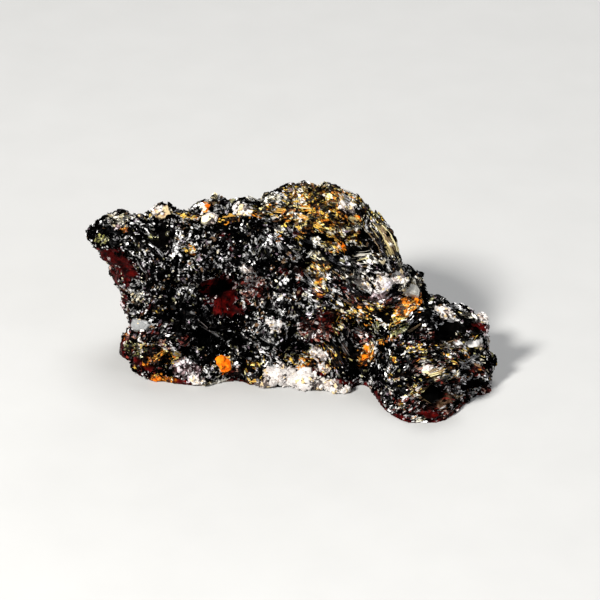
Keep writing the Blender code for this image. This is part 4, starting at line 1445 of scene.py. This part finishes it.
@dataclass
class Crystals:
    """Knots of quartz and feldspar crystals, stepped and chipped."""

    name: str = "pale_crystals"
    seed: int = 90
    edge_steps: int = 4
    # each row's share of the outline and its depth under the face, in half widths, root first
    rows: tuple[Span, ...] = (
        (1.10, 1.90), (1.08, 1.00), (1.00, 0.50), (0.94, 0.16), (0.82, 0.03), (0.62, 0.03),
        (0.56, -0.10), (0.32, -0.11), (0.08, -0.10),
    )
    share: float = 0.62  # a piece's size as a share of its knot's, where there are many
    apart: float = 0.36  # how far pieces lie from the knot's middle, as a share of its size
    lean: float = 0.30
    facing: float = 0.8  # how far a face turns from the skin's way out to the front view's
    lift: float = 0.25
    lone_facing: float = 0.8
    lone_lift: float = 0.45
    rub: float = 0.13
    fine_rub: float = 0.07
    shades: Span = (0.72, 1.04)  # how a knot's crystals vary in brightness
    dull: float = 0.34

    def outline(self) -> Array:
        """Splits each edge of the outline into equal steps.

        Returns:
            The outline's points.
        """
        ends = np.array(CRYSTAL_OUTLINE)
        share = (np.arange(self.edge_steps) / self.edge_steps)[None, :, None]
        return (ends[:, None] * (1 - share) + np.roll(ends, -1, axis=0)[:, None] * share).reshape(-1, 2)

    def span(self, stone: Stone, crystal: Crystal) -> tuple[Array, Array, Array]:
        """Lays a lone crystal over the skin's places at its middle, its ends and its sides.

        Its face stands across the mean of the skin's way out and the front view's, and comes
        forward with the nearest of those places by half.

        Args:
            stone: what it grows from.
            crystal: the crystal, whose size and lie are taken in the front view.

        Returns:
            Its middle, and its two flat half axes.
        """
        axes = VIEW.axes()
        lie = unit(axes[:2] @ np.array(crystal.along, float))
        steps = (lie * (1.0, -1.0), lie[::-1] * (1.0, 1.0))
        places = [VIEW.meet(stone.tree, crystal.at)[0]]
        for step, long in zip(steps, np.array(crystal.size) * VIEW.scale / 2.0):
            for side in (-long, long):
                places.append(VIEW.meet(stone.tree, crystal.at + step * side)[0])
        near = -(np.array(places) @ axes[2])
        _, out = stone.calm_place(places[0])
        out = unit(out - self.lone_facing * axes[2])
        forward = min(max(0.5 * (near.max() - near[0]), 0.0), 0.5)
        way = axes[0] * lie[0] + axes[1] * lie[1]
        along = unit(way - out * (way @ out))
        across = np.cross(out, along)
        half = np.array(crystal.size) / 2.0
        return places[0] - axes[2] * forward + out * self.lone_lift, along * half[0], across * half[1]

    def rows_of(self, place: Array, along: Array, across: Array, rng: Rng) -> Array:
        """Builds a crystal as rows of its outline, from the root in to the face.

        A point is the crystal's middle, plus its two half axes times the outline by the row's
        share, minus the way out times the row's depth, rubbed by noise. The rows shift
        sideways as they rise, as growth steps do.

        Args:
            place: its middle.
            along: its long half axis.
            across: its short half axis.
            rng: the seeded chance.

        Returns:
            Its points.
        """
        ring = self.outline()
        shares, depths = np.array(self.rows).T
        out = unit(np.cross(along, across))
        out = out * (-1.0 if out @ VIEW.axes()[2] > 0.0 else 1.0)
        deep = min(np.linalg.norm(along), np.linalg.norm(across))
        drift = rng.uniform(-0.25, 0.25, 2) * np.clip(0.9 - shares, 0.0, 1.0)[:, None]
        uneven = 1.0 + 0.3 * rng.uniform(-1.0, 1.0, len(ring) // self.edge_steps)
        edges = len(uneven)
        steps = np.arange(len(ring)) / self.edge_steps
        uneven = np.interp(steps, np.arange(edges), uneven, period=edges)
        flat = ring[None] * shares[:, None, None] * uneven[None, :, None] + drift[:, None]
        points = place + along * flat[..., :1] + across * flat[..., 1:]
        points = (points - out * (depths * deep)[:, None, None]).reshape(-1, 3)
        shove = self.rub * np.stack([swell(points, 1.3, 31 + k) for k in range(3)], axis=1)
        shove += self.fine_rub * np.stack([swell(points, 0.5, 35 + k) for k in range(3)], axis=1)
        return points + shove

    def grow(self, stone: Stone, crystal: Crystal, rng: Rng) -> list[Array]:
        """Builds one knot's crystals, each on the skin near the knot's middle.

        Args:
            stone: what they grow from.
            crystal: the knot.
            rng: the seeded chance.

        Returns:
            Each crystal's points.
        """
        parts = []
        middle = VIEW.meet(stone.tree, crystal.at)[0]
        size = np.array(crystal.size)
        for piece in range(crystal.pieces):
            if crystal.pieces == 1:
                parts.append(self.rows_of(*self.span(stone, crystal), rng))
                continue
            spread = size * self.apart * rng.uniform(-1.0, 1.0, 2) * (piece > 0)
            _, out = stone.calm_place(middle)
            across = unit(np.cross(out, np.array(crystal.along)))
            along = np.cross(across, out)
            place, out = stone.calm_place(middle + along * spread[0] + across * spread[1])
            out = unit(out - self.facing * VIEW.axes()[2] + self.lean * rng.normal(size=3))
            way = np.array(crystal.along) + across * rng.normal() * 0.5
            across = unit(np.cross(out, way))
            along = np.cross(across, out)
            half = size / 2.0 * self.share * rng.uniform(0.8, 1.25)
            place = place + out * (self.lift * rng.uniform(-0.4, 1.2))
            parts.append(self.rows_of(place, along * half[0], across * half[1], rng))
        return parts

    def lay(self, stone: Stone, finish: "QuartzFinish") -> Piece:
        """Grows every knot and lays their crystals as one mesh.

        Args:
            stone: what they grow from.
            finish: their finish.

        Returns:
            The piece.
        """
        rng = np.random.default_rng(self.seed)
        depths = np.array(self.rows)[:, 1]
        parts, colours, stains = [], [], []
        for crystal in CRYSTALS:
            grown = self.grow(stone, crystal, rng)
            parts += grown
            colours.append(np.array(crystal.colour) * rng.uniform(*self.shades, (len(grown), 1)))
            stains += [crystal.stained] * len(grown)
        points = np.array(parts).reshape(len(parts), len(depths), -1, 3)
        many, rows, columns = points.shape[:3]
        values = {
            "tint": np.repeat(np.concatenate(colours), rows * columns, axis=0),
            "metal": np.zeros(many * rows * columns),
            "dull": np.full(many * rows * columns, self.dull),
            "root": np.tile(np.repeat(np.clip(depths, 0.0, 1.0), columns), many),
            "stained": np.repeat(stains, rows * columns),
        }
        return lay_strips(self.name, points, finish.material(), values)


class Lump(NamedTuple):
    """An ochre lump: its view point, half its sizes, and how deep it is sunk."""

    at: Span
    half: Place
    sunk: float = 0.45


LUMPS = tuple(
    Lump(*row)
    for row in (
        ((225, 365), (1.5, 1.25, 1.65), .32), ((221, 361), (1.3, 1.05, 1.25), .34),
        ((223, 372), (.8, .7, .65), .45), ((366, 359), (1, .7, 1)), ((368, 349), (.8, .6, 1)),
        ((416, 300), (.7, .5, .6)), ((405, 308), (.8, .5, .5)), ((341, 247), (.8, .5, .5)),
        ((357, 219), (.8, .6, .7)), ((207, 206), (.9, .8, .9)), ((156, 380), (1.1, .6, .6)),
        ((124, 229), (.7, .5, .5)), ((321, 282), (.6, .5, .8)), ((174, 357), (.7, .6, .6)),
    )
)


@dataclass
class OchreLumps:
    """Earthy lumps of limonite, sunk into the stone."""

    name: str = "ochre_lumps"
    rows: int = 24
    columns: int = 36
    rub: float = 0.34
    chips: Chips = Chips(0.62, 0.30, 0.34, 0.8, 260)

    def lay(self, stone: Stone, finish: "OchreFinish") -> Piece:
        """Builds the lumps as spheres, stretched by their half sizes, swollen and chipped.

        Args:
            stone: what they lie on.
            finish: their finish.

        Returns:
            The piece.
        """
        right, up, inward = VIEW.axes()
        tip = np.linspace(0.02, 0.98, self.rows)[:, None] * np.pi
        turn = np.arange(self.columns)[None] * 2.0 * np.pi / self.columns
        ball = [np.sin(tip) * np.cos(turn), np.sin(tip) * np.sin(turn), -np.cos(tip) + 0 * turn]
        parts = []
        for lump in LUMPS:
            place, out = VIEW.meet(stone.tree, lump.at)
            middle = place - out * (lump.sunk * 2.0 - 1.0 + 0.3) * min(lump.half)
            points = (np.stack(ball, axis=-1) * np.array(lump.half)).reshape(-1, 3)
            points = middle + points @ np.stack([right, -inward, up])
            shove = self.rub * swell(points, 0.9, 41) + self.chips.height(points)
            parts.append(points + unit(points - middle) * shove[:, None])
        points = np.array(parts).reshape(len(parts), self.rows, self.columns, 3)
        return lay_strips(self.name, points, finish.material())


# ---- finishes


class Pen:
    """Writes one node tree, node by node."""

    def __init__(self, tree: Tree) -> None:
        """Starts on a tree, whose textures are laid by vector once that is set."""
        self.tree = tree
        self.vector: Socket | None = None

    def node(self, kind: str, **settings: object) -> Node:
        """Adds a node and sets its properties.

        Args:
            kind: the node's type.
            settings: its properties by name.

        Returns:
            The node.
        """
        made = self.tree.nodes.new(kind)
        for label, value in settings.items():
            setattr(made, label, value)
        return made

    def feed(self, socket: Socket, source: object) -> None:
        """Links a socket to an output, or sets its own value; a colour's is three numbers."""
        if isinstance(source, Socket):
            self.tree.links.new(source, socket)
        else:
            socket.default_value = (*source, 1.0) if socket.type == "RGBA" else source

    def fill(self, node: Node, inputs: dict[str, object]) -> None:
        """Feeds a node's inputs by their names."""
        for label, source in inputs.items():
            self.feed(node.inputs[label], source)

    def row(self, kind: str, sources: tuple[object, ...], **settings: object) -> Socket:
        """Adds a node, feeds its inputs in order, and gives its first output.

        Args:
            kind: the node's type.
            sources: what its inputs take, in order.
            settings: its properties by name.

        Returns:
            The output.
        """
        made = self.node(kind, **settings)
        for socket, source in zip(made.inputs, sources):
            self.feed(socket, source)
        return made.outputs[0]

    def math(self, operation: str, *values: object) -> Socket:
        """Works out one step of arithmetic."""
        return self.row("ShaderNodeMath", values, operation=operation)

    def plus(self, a: object, b: object) -> Socket:
        """Adds two values."""
        return self.math("ADD", a, b)

    def minus(self, a: object, b: object) -> Socket:
        """Takes one value from another."""
        return self.math("SUBTRACT", a, b)

    def times(self, a: object, b: object) -> Socket:
        """Multiplies two values."""
        return self.math("MULTIPLY", a, b)

    def swing(self, value: object, width: float) -> Socket:
        """Turns a value about a half into one about nothing, of this width."""
        return self.times(self.minus(value, 0.5), width)

    def ranged(self, value: object, *ends: float) -> Socket:
        """Carries a value from its low and high ends to two others, and no further."""
        return self.row("ShaderNodeMapRange", (value, *ends))

    def mix(self, blend: str, share: object, a: object, b: object) -> Socket:
        """Blends two colours by a share.

        Args:
            blend: how they are blended.
            share: how far, from 0 to 1.
            a: the colour beneath.
            b: the colour above.

        Returns:
            The blend.
        """
        made = self.node("ShaderNodeMix", data_type="RGBA", blend_type=blend)
        for slot, source in (("Factor", share), (6, a), (7, b)):
            self.feed(made.inputs[slot], source)
        return made.outputs[2]

    def noise(self, scale: object, detail: float, rough: float = 0.5) -> Socket:
        """Gives a noise's value.

        Args:
            scale: its scale.
            detail: how many octaves it has.
            rough: how strong the fine ones are.

        Returns:
            The value.
        """
        made = self.node("ShaderNodeTexNoise")
        self.fill(made, {"Vector": self.vector, "Scale": scale, "Detail": detail, "Roughness": rough})
        return made.outputs["Fac"]

    def cells(self, scale: object, output: str = "Distance") -> Socket:
        """Gives one of a cell pattern's outputs.

        Args:
            scale: its scale.
            output: the output's name.

        Returns:
            The output.
        """
        made = self.node("ShaderNodeTexVoronoi")
        self.fill(made, {"Vector": self.vector, "Scale": scale})
        return made.outputs[output]

    def read(self, label: str, output: str = "Fac") -> Socket:
        """Gives one of an attribute's outputs."""
        return self.node("ShaderNodeAttribute", attribute_name=label).outputs[output]

    def group(self, tree: Tree, **inputs: object) -> Items:
        """Places a shared effect, feeds its inputs and gives its outputs.

        Args:
            tree: the effect's tree.
            inputs: its inputs by name, but for the vector.

        Returns:
            Its outputs by name.
        """
        made = self.node("ShaderNodeGroup", node_tree=tree)
        self.fill(made, {"Vector": self.vector} | inputs)
        return made.outputs


@dataclass(frozen=True)
class Effect:
    """A node group that several finishes share: its dial is the input beside vector and scale."""

    name: str
    scale: float
    dial: str
    amount: float
    outputs: tuple[str, ...]

    def start(self) -> tuple[Pen, Node, Socket, Socket]:
        """Makes the group with its named sockets.

        Returns:
            A pen for its tree, its output node, its scale and its dial.
        """
        tree = bpy.data.node_groups.new(self.name, "ShaderNodeTree")
        tree.interface.new_socket("Vector", in_out="INPUT", socket_type="NodeSocketVector")
        for label, value in (("Scale", self.scale), (self.dial, self.amount)):
            socket = tree.interface.new_socket(label, in_out="INPUT", socket_type="NodeSocketFloat")
            socket.default_value = value
        for label in self.outputs:
            tree.interface.new_socket(label, in_out="OUTPUT", socket_type="NodeSocketFloat")
        pen = Pen(tree)
        pen.vector, scale, dial = list(pen.node("NodeGroupInput").outputs)[:3]
        return pen, pen.node("NodeGroupOutput"), scale, dial


def make_grain() -> Tree:
    """Mineral grain: a shade about 1 that varies with noise and cells, and a height for bump.

    Returns:
        The group's tree.
    """
    effect = Effect("mineral_grain", 1500.0, "Contrast", 0.4, ("Shade", "Height"))
    pen, sink, scale, contrast = effect.start()
    soft = pen.times(pen.noise(scale, 4.0, 0.6), 0.7)
    both = pen.plus(soft, pen.times(pen.cells(pen.times(scale, 0.8)), 0.45))
    spread = pen.ranged(both, 0.25, 0.85, -1.0, 1.0)
    pen.fill(sink, {"Shade": pen.plus(pen.times(spread, contrast), 1.0), "Height": both})
    return pen.tree


def make_layers() -> Tree:
    """Cleavage layers: fine wavy lines, as a height and as a mask of their edges.

    Returns:
        The group's tree.
    """
    pen, sink, scale, waver = Effect("cleavage_layers", 1500.0, "Waver", 3.0, ("Height", "Edge")).start()
    wave = pen.node("ShaderNodeTexWave", bands_direction="DIAGONAL", wave_profile="SAW")
    pen.fill(wave, {"Vector": pen.vector, "Scale": scale, "Distortion": waver, "Detail": 3.0})
    height = wave.outputs["Fac"]
    pen.fill(sink, {"Height": height, "Edge": pen.ranged(height, 0.86, 0.97, 0.0, 1.0)})
    return pen.tree


def make_dust_and_shade_specks() -> Tree:
    """Speck mask: soft specks, more of them as the amount rises, for ochre dust and stains and for the
    flakes' painted shade specks.

    Returns:
        The group's tree.
    """
    pen, sink, scale, amount = Effect("ochre_dust", 600.0, "Amount", 0.2, ("Mask",)).start()
    broad = pen.times(pen.noise(pen.times(scale, 0.3), 2.0), 0.45)
    both = pen.plus(broad, pen.times(pen.noise(scale, 5.0, 0.65), 0.55))
    over = pen.minus(both, pen.minus(0.78, pen.times(amount, 0.5)))
    pen.fill(sink, {"Mask": pen.ranged(over, 0.0, 0.06, 0.0, 1.0)})
    return pen.tree


def make_painted_glints() -> Tree:
    """Painted glints: a mask of scattered tiny cells, a given share of them, where a bright colour is
    painted on as glints.

    Returns:
        The group's tree.
    """
    pen, sink, scale, share = Effect("ore_glitter", 3000.0, "Share", 0.1, ("Mask",)).start()
    luck = pen.row("ShaderNodeSeparateColor", (pen.cells(scale, "Color"),))
    pen.fill(sink, {"Mask": pen.math("GREATER_THAN", luck, pen.minus(1.0, share))})
    return pen.tree


@dataclass(frozen=True)
class SharedEffects:
    """The node groups that the finishes share, each built once."""

    grain: Tree
    layers: Tree
    dust: Tree
    painted_glints: Tree

    @classmethod
    def build(cls) -> "SharedEffects":
        """Builds all four."""
        return cls(make_grain(), make_layers(), make_dust_and_shade_specks(), make_painted_glints())


class Look(NamedTuple):
    """What varies over a surface: its colour, roughness, relief, the relief's depth in mm, metal."""

    colour: Socket
    rough: Socket
    height: Socket
    depth: float
    metal: Socket | float = 0.0


def shader_of(made: Material) -> tuple[Pen, Node]:
    """Starts a material's tree, with its textures laid by object coordinates.

    Args:
        made: the new material.

    Returns:
        A pen for its tree, and its shader.
    """
    made.use_nodes = True
    pen = Pen(made.node_tree)
    pen.vector = pen.node("ShaderNodeTexCoord").outputs["Object"]
    return pen, made.node_tree.nodes["Principled BSDF"]


@dataclass(frozen=True)
class Finish:
    """What every finish has: a name, the shared effects and its uniform gloss."""

    name: str
    effects: SharedEffects
    coat: float = 0.0
    coat_rough: float = 0.2
    specular: float = 0.5
    edge: float = 1.0

    def look(self, pen: Pen) -> Look:
        """Writes the nodes of one kind of surface, which each finish does in its own way.

        Args:
            pen: a pen for the material's tree.

        Returns:
            The look.
        """
        raise NotImplementedError

    def material(self) -> Material:
        """Makes the material and feeds its shader with the gloss and the look.

        Returns:
            The material.
        """
        made = bpy.data.materials.new(self.name)
        pen, shader = shader_of(made)
        look = self.look(pen)
        bump = pen.node("ShaderNodeBump")
        pen.fill(bump, {"Strength": 1.0, "Distance": look.depth * MM, "Height": look.height})
        gloss = {"Coat Weight": self.coat, "Coat Roughness": self.coat_rough}
        gloss |= {"Specular IOR Level": self.specular, "Specular Tint": (self.edge,) * 3}
        varied = {"Base Color": look.colour, "Roughness": look.rough, "Metallic": look.metal}
        pen.fill(shader, gloss | varied | {"Normal": bump.outputs[0]})
        return made


@dataclass(frozen=True)
class StoneFinish(Finish):
    """The skin's finish: its ground colour, mottled, dusted, and with painted glints where it is ore."""

    # the colour of the painted glints
    glint: Rgb = (0.62, 0.61, 0.61)
    ochre: Rgb = (0.46, 0.22, 0.04)

    def look(self, pen: Pen) -> Look:
        """Writes the skin's look.

        Args:
            pen: a pen for the material's tree.

        Returns:
            The look.
        """
        grain = pen.group(self.effects.grain, Scale=2200.0, Contrast=0.75)
        broad = pen.group(self.effects.grain, Scale=500.0, Contrast=0.40)
        dust = pen.group(self.effects.dust, Scale=700.0, Amount=0.30)["Mask"]
        painted_glints = pen.group(self.effects.painted_glints, Scale=2600.0, Share=0.13)["Mask"]
        layers = pen.group(self.effects.layers, Scale=420.0, Waver=6.0)
        ore = pen.read("ore")
        shade = pen.times(grain["Shade"], broad["Shade"])
        ground = pen.mix("MULTIPLY", 1.0, pen.read("ground", "Color"), shade)
        dusted = pen.mix("MIX", pen.times(dust, pen.times(ore, 0.5)), ground, self.ochre)
        # painted glints: bright steel dots laid into the colour where it is ore
        colour = pen.mix("MIX", pen.times(painted_glints, ore), dusted, self.glint)
        rough = pen.plus(pen.read("dull"), pen.swing(grain["Height"], 0.25))
        height = pen.plus(grain["Height"], pen.times(layers["Height"], 0.5))
        return Look(colour, rough, height, 0.12, pen.times(ore, 0.8))


@dataclass(frozen=True)
class FlakeFinish(Finish):
    """A flake's finish: its own tint, with cleavage lines, grain, ochre in the cracks and painted dark
    specks of shade.
    """

    grain_scale: float = 2600.0
    contrast: float = 0.35
    layer_scale: float = 1500.0
    dust: float = 0.12
    # painted shade specks: how many, how fine and how dark
    shade_specks: float = 0.56
    shade_speck_scale: float = 1900.0
    shade_speck_depth: float = 0.97
    depth: float = 0.035
    crack: Rgb = (0.35, 0.33, 0.31)
    ochre: Rgb = (0.50, 0.26, 0.05)

    def look(self, pen: Pen) -> Look:
        """Writes the flakes' look.

        Args:
            pen: a pen for the material's tree.

        Returns:
            The look.
        """
        grain = pen.group(self.effects.grain, Scale=self.grain_scale, Contrast=self.contrast)
        layers = pen.group(self.effects.layers, Scale=self.layer_scale, Waver=5.0)
        dust = pen.group(self.effects.dust, Scale=900.0, Amount=self.dust)["Mask"]
        # painted shade: dark specks cut across each flake, breaking its tint and its painted glints into
        # finer points
        shade_specks = pen.group(self.effects.dust, Scale=self.shade_speck_scale, Amount=self.shade_specks)["Mask"]
        left = pen.minus(1.0, pen.times(shade_specks, self.shade_speck_depth))
        shade = pen.times(grain["Shade"], left)
        tint = pen.mix("MULTIPLY", 1.0, pen.read("tint", "Color"), shade)
        lined = pen.mix("MULTIPLY", pen.times(layers["Edge"], 0.5), tint, self.crack)
        colour = pen.mix("MIX", dust, lined, self.ochre)
        metal = pen.times(pen.read("metal"), pen.minus(1.0, dust))
        rough = pen.plus(pen.swing(grain["Height"], 0.2), pen.times(dust, 0.3))
        rough = pen.plus(pen.read("dull"), rough)
        height = pen.plus(pen.times(grain["Height"], 0.6), layers["Height"])
        return Look(colour, rough, height, self.depth, metal)


@dataclass(frozen=True)
class BladeFinish(Finish):
    """A blade's finish: its tint, streaked along its own length."""

    stretch: Rgb = (0.45, 7.0, 1.0)  # how the streaks are scaled along, across and between blades
    ochre: Rgb = (0.44, 0.22, 0.05)

    def look(self, pen: Pen) -> Look:
        """Writes the blades' look.

        Args:
            pen: a pen for the material's tree.

        Returns:
            The look.
        """
        dust = pen.group(self.effects.dust, Scale=800.0, Amount=0.22)["Mask"]
        grain = pen.group(self.effects.grain, Scale=2800.0, Contrast=0.25)
        drawn = pen.node("ShaderNodeMapping")
        pen.fill(drawn, {"Vector": pen.read("run", "Vector"), "Scale": self.stretch})
        pen.vector = drawn.outputs[0]
        streak = pen.noise(1.6, 3.0, 0.6)
        shade = pen.times(pen.ranged(streak, 0.30, 0.70, 0.45, 1.25), grain["Shade"])
        tint = pen.mix("MULTIPLY", 1.0, pen.read("tint", "Color"), shade)
        rough = pen.plus(pen.read("dull"), pen.swing(streak, 0.3))
        height = pen.plus(streak, pen.times(grain["Height"], 0.3))
        colour = pen.mix("MIX", dust, tint, self.ochre)
        return Look(colour, rough, height, 0.06, pen.read("metal"))


@dataclass(frozen=True)
class QuartzFinish(Finish):
    """Milky crystal: its tint, clouded and veined, with rust creeping up from the root."""

    milk: Rgb = (0.72, 0.66, 0.66)
    vein: Rgb = (0.50, 0.42, 0.40)
    rust: Rgb = (0.33, 0.10, 0.04)
    speck: Rgb = (0.02, 0.015, 0.015)
    specks: float = 0.38
    own_stain: bool = True

    def look(self, pen: Pen) -> Look:
        """Writes the quartz's look.

        Args:
            pen: a pen for the material's tree.

        Returns:
            The look.
        """
        cloud = pen.ranged(pen.noise(420.0, 4.0, 0.6), 0.42, 0.62, 0.0, 0.55)
        grain = pen.group(self.effects.grain, Scale=1700.0, Contrast=0.12)
        layers = pen.group(self.effects.layers, Scale=520.0, Waver=9.0)
        tint = pen.mix("MULTIPLY", 1.0, pen.read("tint", "Color"), grain["Shade"])
        milky = pen.mix("MULTIPLY", cloud, tint, self.milk)
        veined = pen.mix("MULTIPLY", pen.times(layers["Edge"], 0.35), milky, self.vein)
        amount = 0.16
        if self.own_stain:
            amount = pen.plus(pen.read("stained"), pen.times(pen.read("root"), 0.35))
        dust = pen.group(self.effects.dust, Scale=650.0, Amount=amount)["Mask"]
        stained = pen.mix("MIX", pen.times(dust, 0.85), veined, self.rust)
        specks = pen.group(self.effects.dust, Scale=1500.0, Amount=self.specks)["Mask"]
        rough = pen.plus(pen.read("dull"), pen.times(dust, 0.35))
        height = pen.plus(grain["Height"], pen.times(layers["Height"], 0.7))
        return Look(pen.mix("MIX", specks, stained, self.speck), rough, height, 0.05)


@dataclass(frozen=True)
class OchreFinish(Finish):
    """Earthy limonite: orange powder over darker pores."""

    orange: Rgb = (0.84, 0.125, 0.002)
    yellow: Rgb = (0.86, 0.240, 0.008)
    pore: Rgb = (0.160, 0.030, 0.004)

    def look(self, pen: Pen) -> Look:
        """Writes the ochre's look.

        Args:
            pen: a pen for the material's tree.

        Returns:
            The look.
        """
        grain = pen.group(self.effects.grain, Scale=1500.0, Contrast=0.22)
        patch = pen.ranged(pen.noise(700.0, 4.0, 0.6), 0.45, 0.60, 0.0, 1.0)
        pores = pen.group(self.effects.dust, Scale=1300.0, Amount=0.46)["Mask"]
        body = pen.mix("MIX", patch, self.orange, self.yellow)
        shaded = pen.mix("MULTIPLY", 1.0, body, grain["Shade"])
        colour = pen.mix("MIX", pores, shaded, self.pore)
        rough = pen.ranged(grain["Height"], 0.2, 0.9, 0.62, 0.88)
        return Look(colour, rough, pen.minus(grain["Height"], pen.times(pores, 0.8)), 0.12)


# ---- the studio


class Lamp(NamedTuple):
    """A square soft light: its place and side in metres, its power in watts, its colour."""

    name: str
    place: Place
    side: float
    power: float
    colour: Rgb


@dataclass(frozen=True)
class Studio:
    """A pale floor, soft lamps and the camera at the front view."""

    lens: float = 200.0
    sensor: float = 36.0
    depth: float = -13.0  # how far in from the origin the view is focused, mm
    clip: Span = (0.01, 20.0)
    floor_radius: float = 2.5
    floor_sides: int = 96
    floor_colour: Rgb = (0.50, 0.50, 0.49)
    world_colour: Rgb = (0.86, 0.90, 1.00)
    world_strength: float = 0.14
    aim: Place = (0.0, 0.0, 0.02)
    lamps: tuple[Lamp, ...] = (
        Lamp("key", (-0.42, -0.52, 0.62), 0.16, 13.6, (1.0, 0.98, 0.95)),
        Lamp("fill", (0.62, -0.45, 0.30), 0.45, 1.6, (0.92, 0.95, 1.0)),
        Lamp("top", (0.10, 0.25, 0.80), 0.40, 3.2, (1.0, 1.0, 1.0)),
        Lamp("back", (0.25, 0.75, 0.35), 0.40, 1.6, (1.0, 0.98, 0.96)),
    )

    def set_up(self) -> None:
        """Builds the floor, the lamps, the world and the camera."""
        self.lay_floor()
        for lamp in self.lamps:
            self.hang(lamp)
        world = bpy.data.worlds.new("studio")
        world.use_nodes = True
        back = world.node_tree.nodes["Background"]
        back.inputs["Color"].default_value = (*self.world_colour, 1.0)
        back.inputs["Strength"].default_value = self.world_strength
        bpy.context.scene.world = world
        bpy.context.scene.view_settings.view_transform = "Standard"
        self.place_camera()

    def lay_floor(self) -> None:
        """Lays a round floor, with a little tooth in its finish."""
        turn = np.arange(self.floor_sides) * 2.0 * np.pi / self.floor_sides
        rim = np.stack([np.cos(turn), np.sin(turn), 0.0 * turn], axis=1) * self.floor_radius / MM
        floor = Sheet(rim, np.arange(self.floor_sides), np.array([0])).lay("studio_floor")
        made = bpy.data.materials.new("studio_floor")
        pen, shader = shader_of(made)
        shade = pen.ranged(pen.noise(60.0, 3.0), 0.3, 0.7, 0.985, 1.015)
        colour = pen.mix("MULTIPLY", 1.0, self.floor_colour, shade)
        pen.fill(shader, {"Base Color": colour, "Roughness": 0.8, "Specular IOR Level": 0.2})
        floor.data.materials.append(made)

    def hang(self, lamp: Lamp) -> None:
        """Hangs a lamp that faces the stone.

        Args:
            lamp: the lamp.
        """
        data = bpy.data.lights.new(lamp.name, "AREA")
        data.size, data.energy, data.color = lamp.side, lamp.power, lamp.colour
        self.put_up(data, Vector(lamp.place), Vector(self.aim) - Vector(lamp.place))

    def place_camera(self) -> None:
        """Sets the camera so that it sees the front view."""
        axes = VIEW.axes()
        right, up = VIEW.flat((VIEW.size / 2.0, VIEW.size / 2.0))
        away = self.lens / self.sensor * VIEW.size / VIEW.scale
        place = axes[0] * right + axes[1] * up + axes[2] * (self.depth - away)
        data = bpy.data.cameras.new("front")
        data.lens, data.sensor_width = self.lens, self.sensor
        data.clip_start, data.clip_end = self.clip
        bpy.context.scene.camera = self.put_up(data, place * MM, Vector(axes[2]))

    @staticmethod
    def put_up(data: bpy.types.ID, place: Array | Vector, way: Vector) -> Piece:
        """Puts a lamp or a camera at a place, so that it looks along a way.

        Args:
            data: the lamp or the camera.
            place: where it stands, in metres.
            way: which way it looks.

        Returns:
            Its object.
        """
        made = bpy.data.objects.new(data.name, data)
        made.location = place
        made.rotation_euler = way.to_track_quat("-Z", "Y").to_euler()
        bpy.context.scene.collection.objects.link(made)
        return made


# ---- the specimen


# how thickly each family of small pieces covers each kind
ORE = {Kind.STEEL: 1.0, Kind.DARK: 0.9, Kind.PINK: 0.7, Kind.RUST: 0.5, Kind.OLIVE: 0.4, Kind.GOLD: 0.25}
ORE |= {Kind.STREAK: 0.2, Kind.WHITE: 0.12, Kind.EARTH: 0.01}
OCHRE = {Kind.STREAK: 1.1, Kind.GOLD: 1.0, Kind.OLIVE: 0.9, Kind.ORANGE: 0.75, Kind.RUST: 0.6}
OCHRE |= {Kind.EARTH: 0.02}
PALE = {Kind.WHITE: 1.0, Kind.PINK: 0.42, Kind.STREAK: 0.12}


def main() -> None:
    """Builds the specimen piece by piece, and the studio round it."""
    logging.basicConfig(level=logging.INFO, format="%(name)s: %(message)s")
    Studio().set_up()
    effects = SharedEffects.build()
    stone = Stone()
    stone.lay(StoneFinish("rough_stone", effects, specular=0.10, edge=0.2))
    ore = FlakeFinish("specular_flakes", effects, specular=0.14, edge=0.15)
    low = {"tilt": (4.0, 52.0), "lift": 0.02}
    Flakes("dark_plates", 15000, 101, (0.9, 2.2), (0.40, 0.85), ORE, -0.20, **low).lay(stone, ore)
    bright = replace(ore, name="bright_flakes", contrast=0.2, dust=0.05)
    steep = {"tilt": (15.0, 75.0), "lift": 0.16}
    Flakes("steel_flakes", 19000, 102, (0.6, 1.7), (0.25, 0.75), ORE, **steep).lay(stone, bright)
    sparks = replace(ore, name="glint_flakes", contrast=0.15, dust=0.02)
    high = {"tilt": (5.0, 65.0), "lift": 0.28, "sides": 5}
    Flakes("fine_glints", 17000, 103, (0.45, 1.15), (0.40, 0.95), ORE, 0.03, **high).lay(stone, sparks)
    stain = FlakeFinish("ochre_flakes", effects, specular=0.3, contrast=0.3, dust=0.16, shade_specks=0.6, depth=0.05)
    Flakes("ochre_flakes", 18000, 104, (0.45, 1.8), (0.22, 0.70), OCHRE, 0.06, lift=0.16).lay(stone, stain)
    milky = QuartzFinish("milky_grains", effects, coat=0.3, own_stain=False)
    flat = {"rise": (0.16, 0.42), "sunk": 0.30}
    Grains("pale_grains", 7800, 105, (0.45, 1.70), (0.32, 0.80), PALE, **flat).lay(stone, milky)
    Blades().lay(stone, BladeFinish("streaked_blades", effects))
    Crystals().lay(stone, QuartzFinish("milky_crystals", effects, coat=0.4))
    OchreLumps().lay(stone, OchreFinish("limonite", effects, specular=0.15, edge=0.3))


if __name__ == "__main__":
    main()
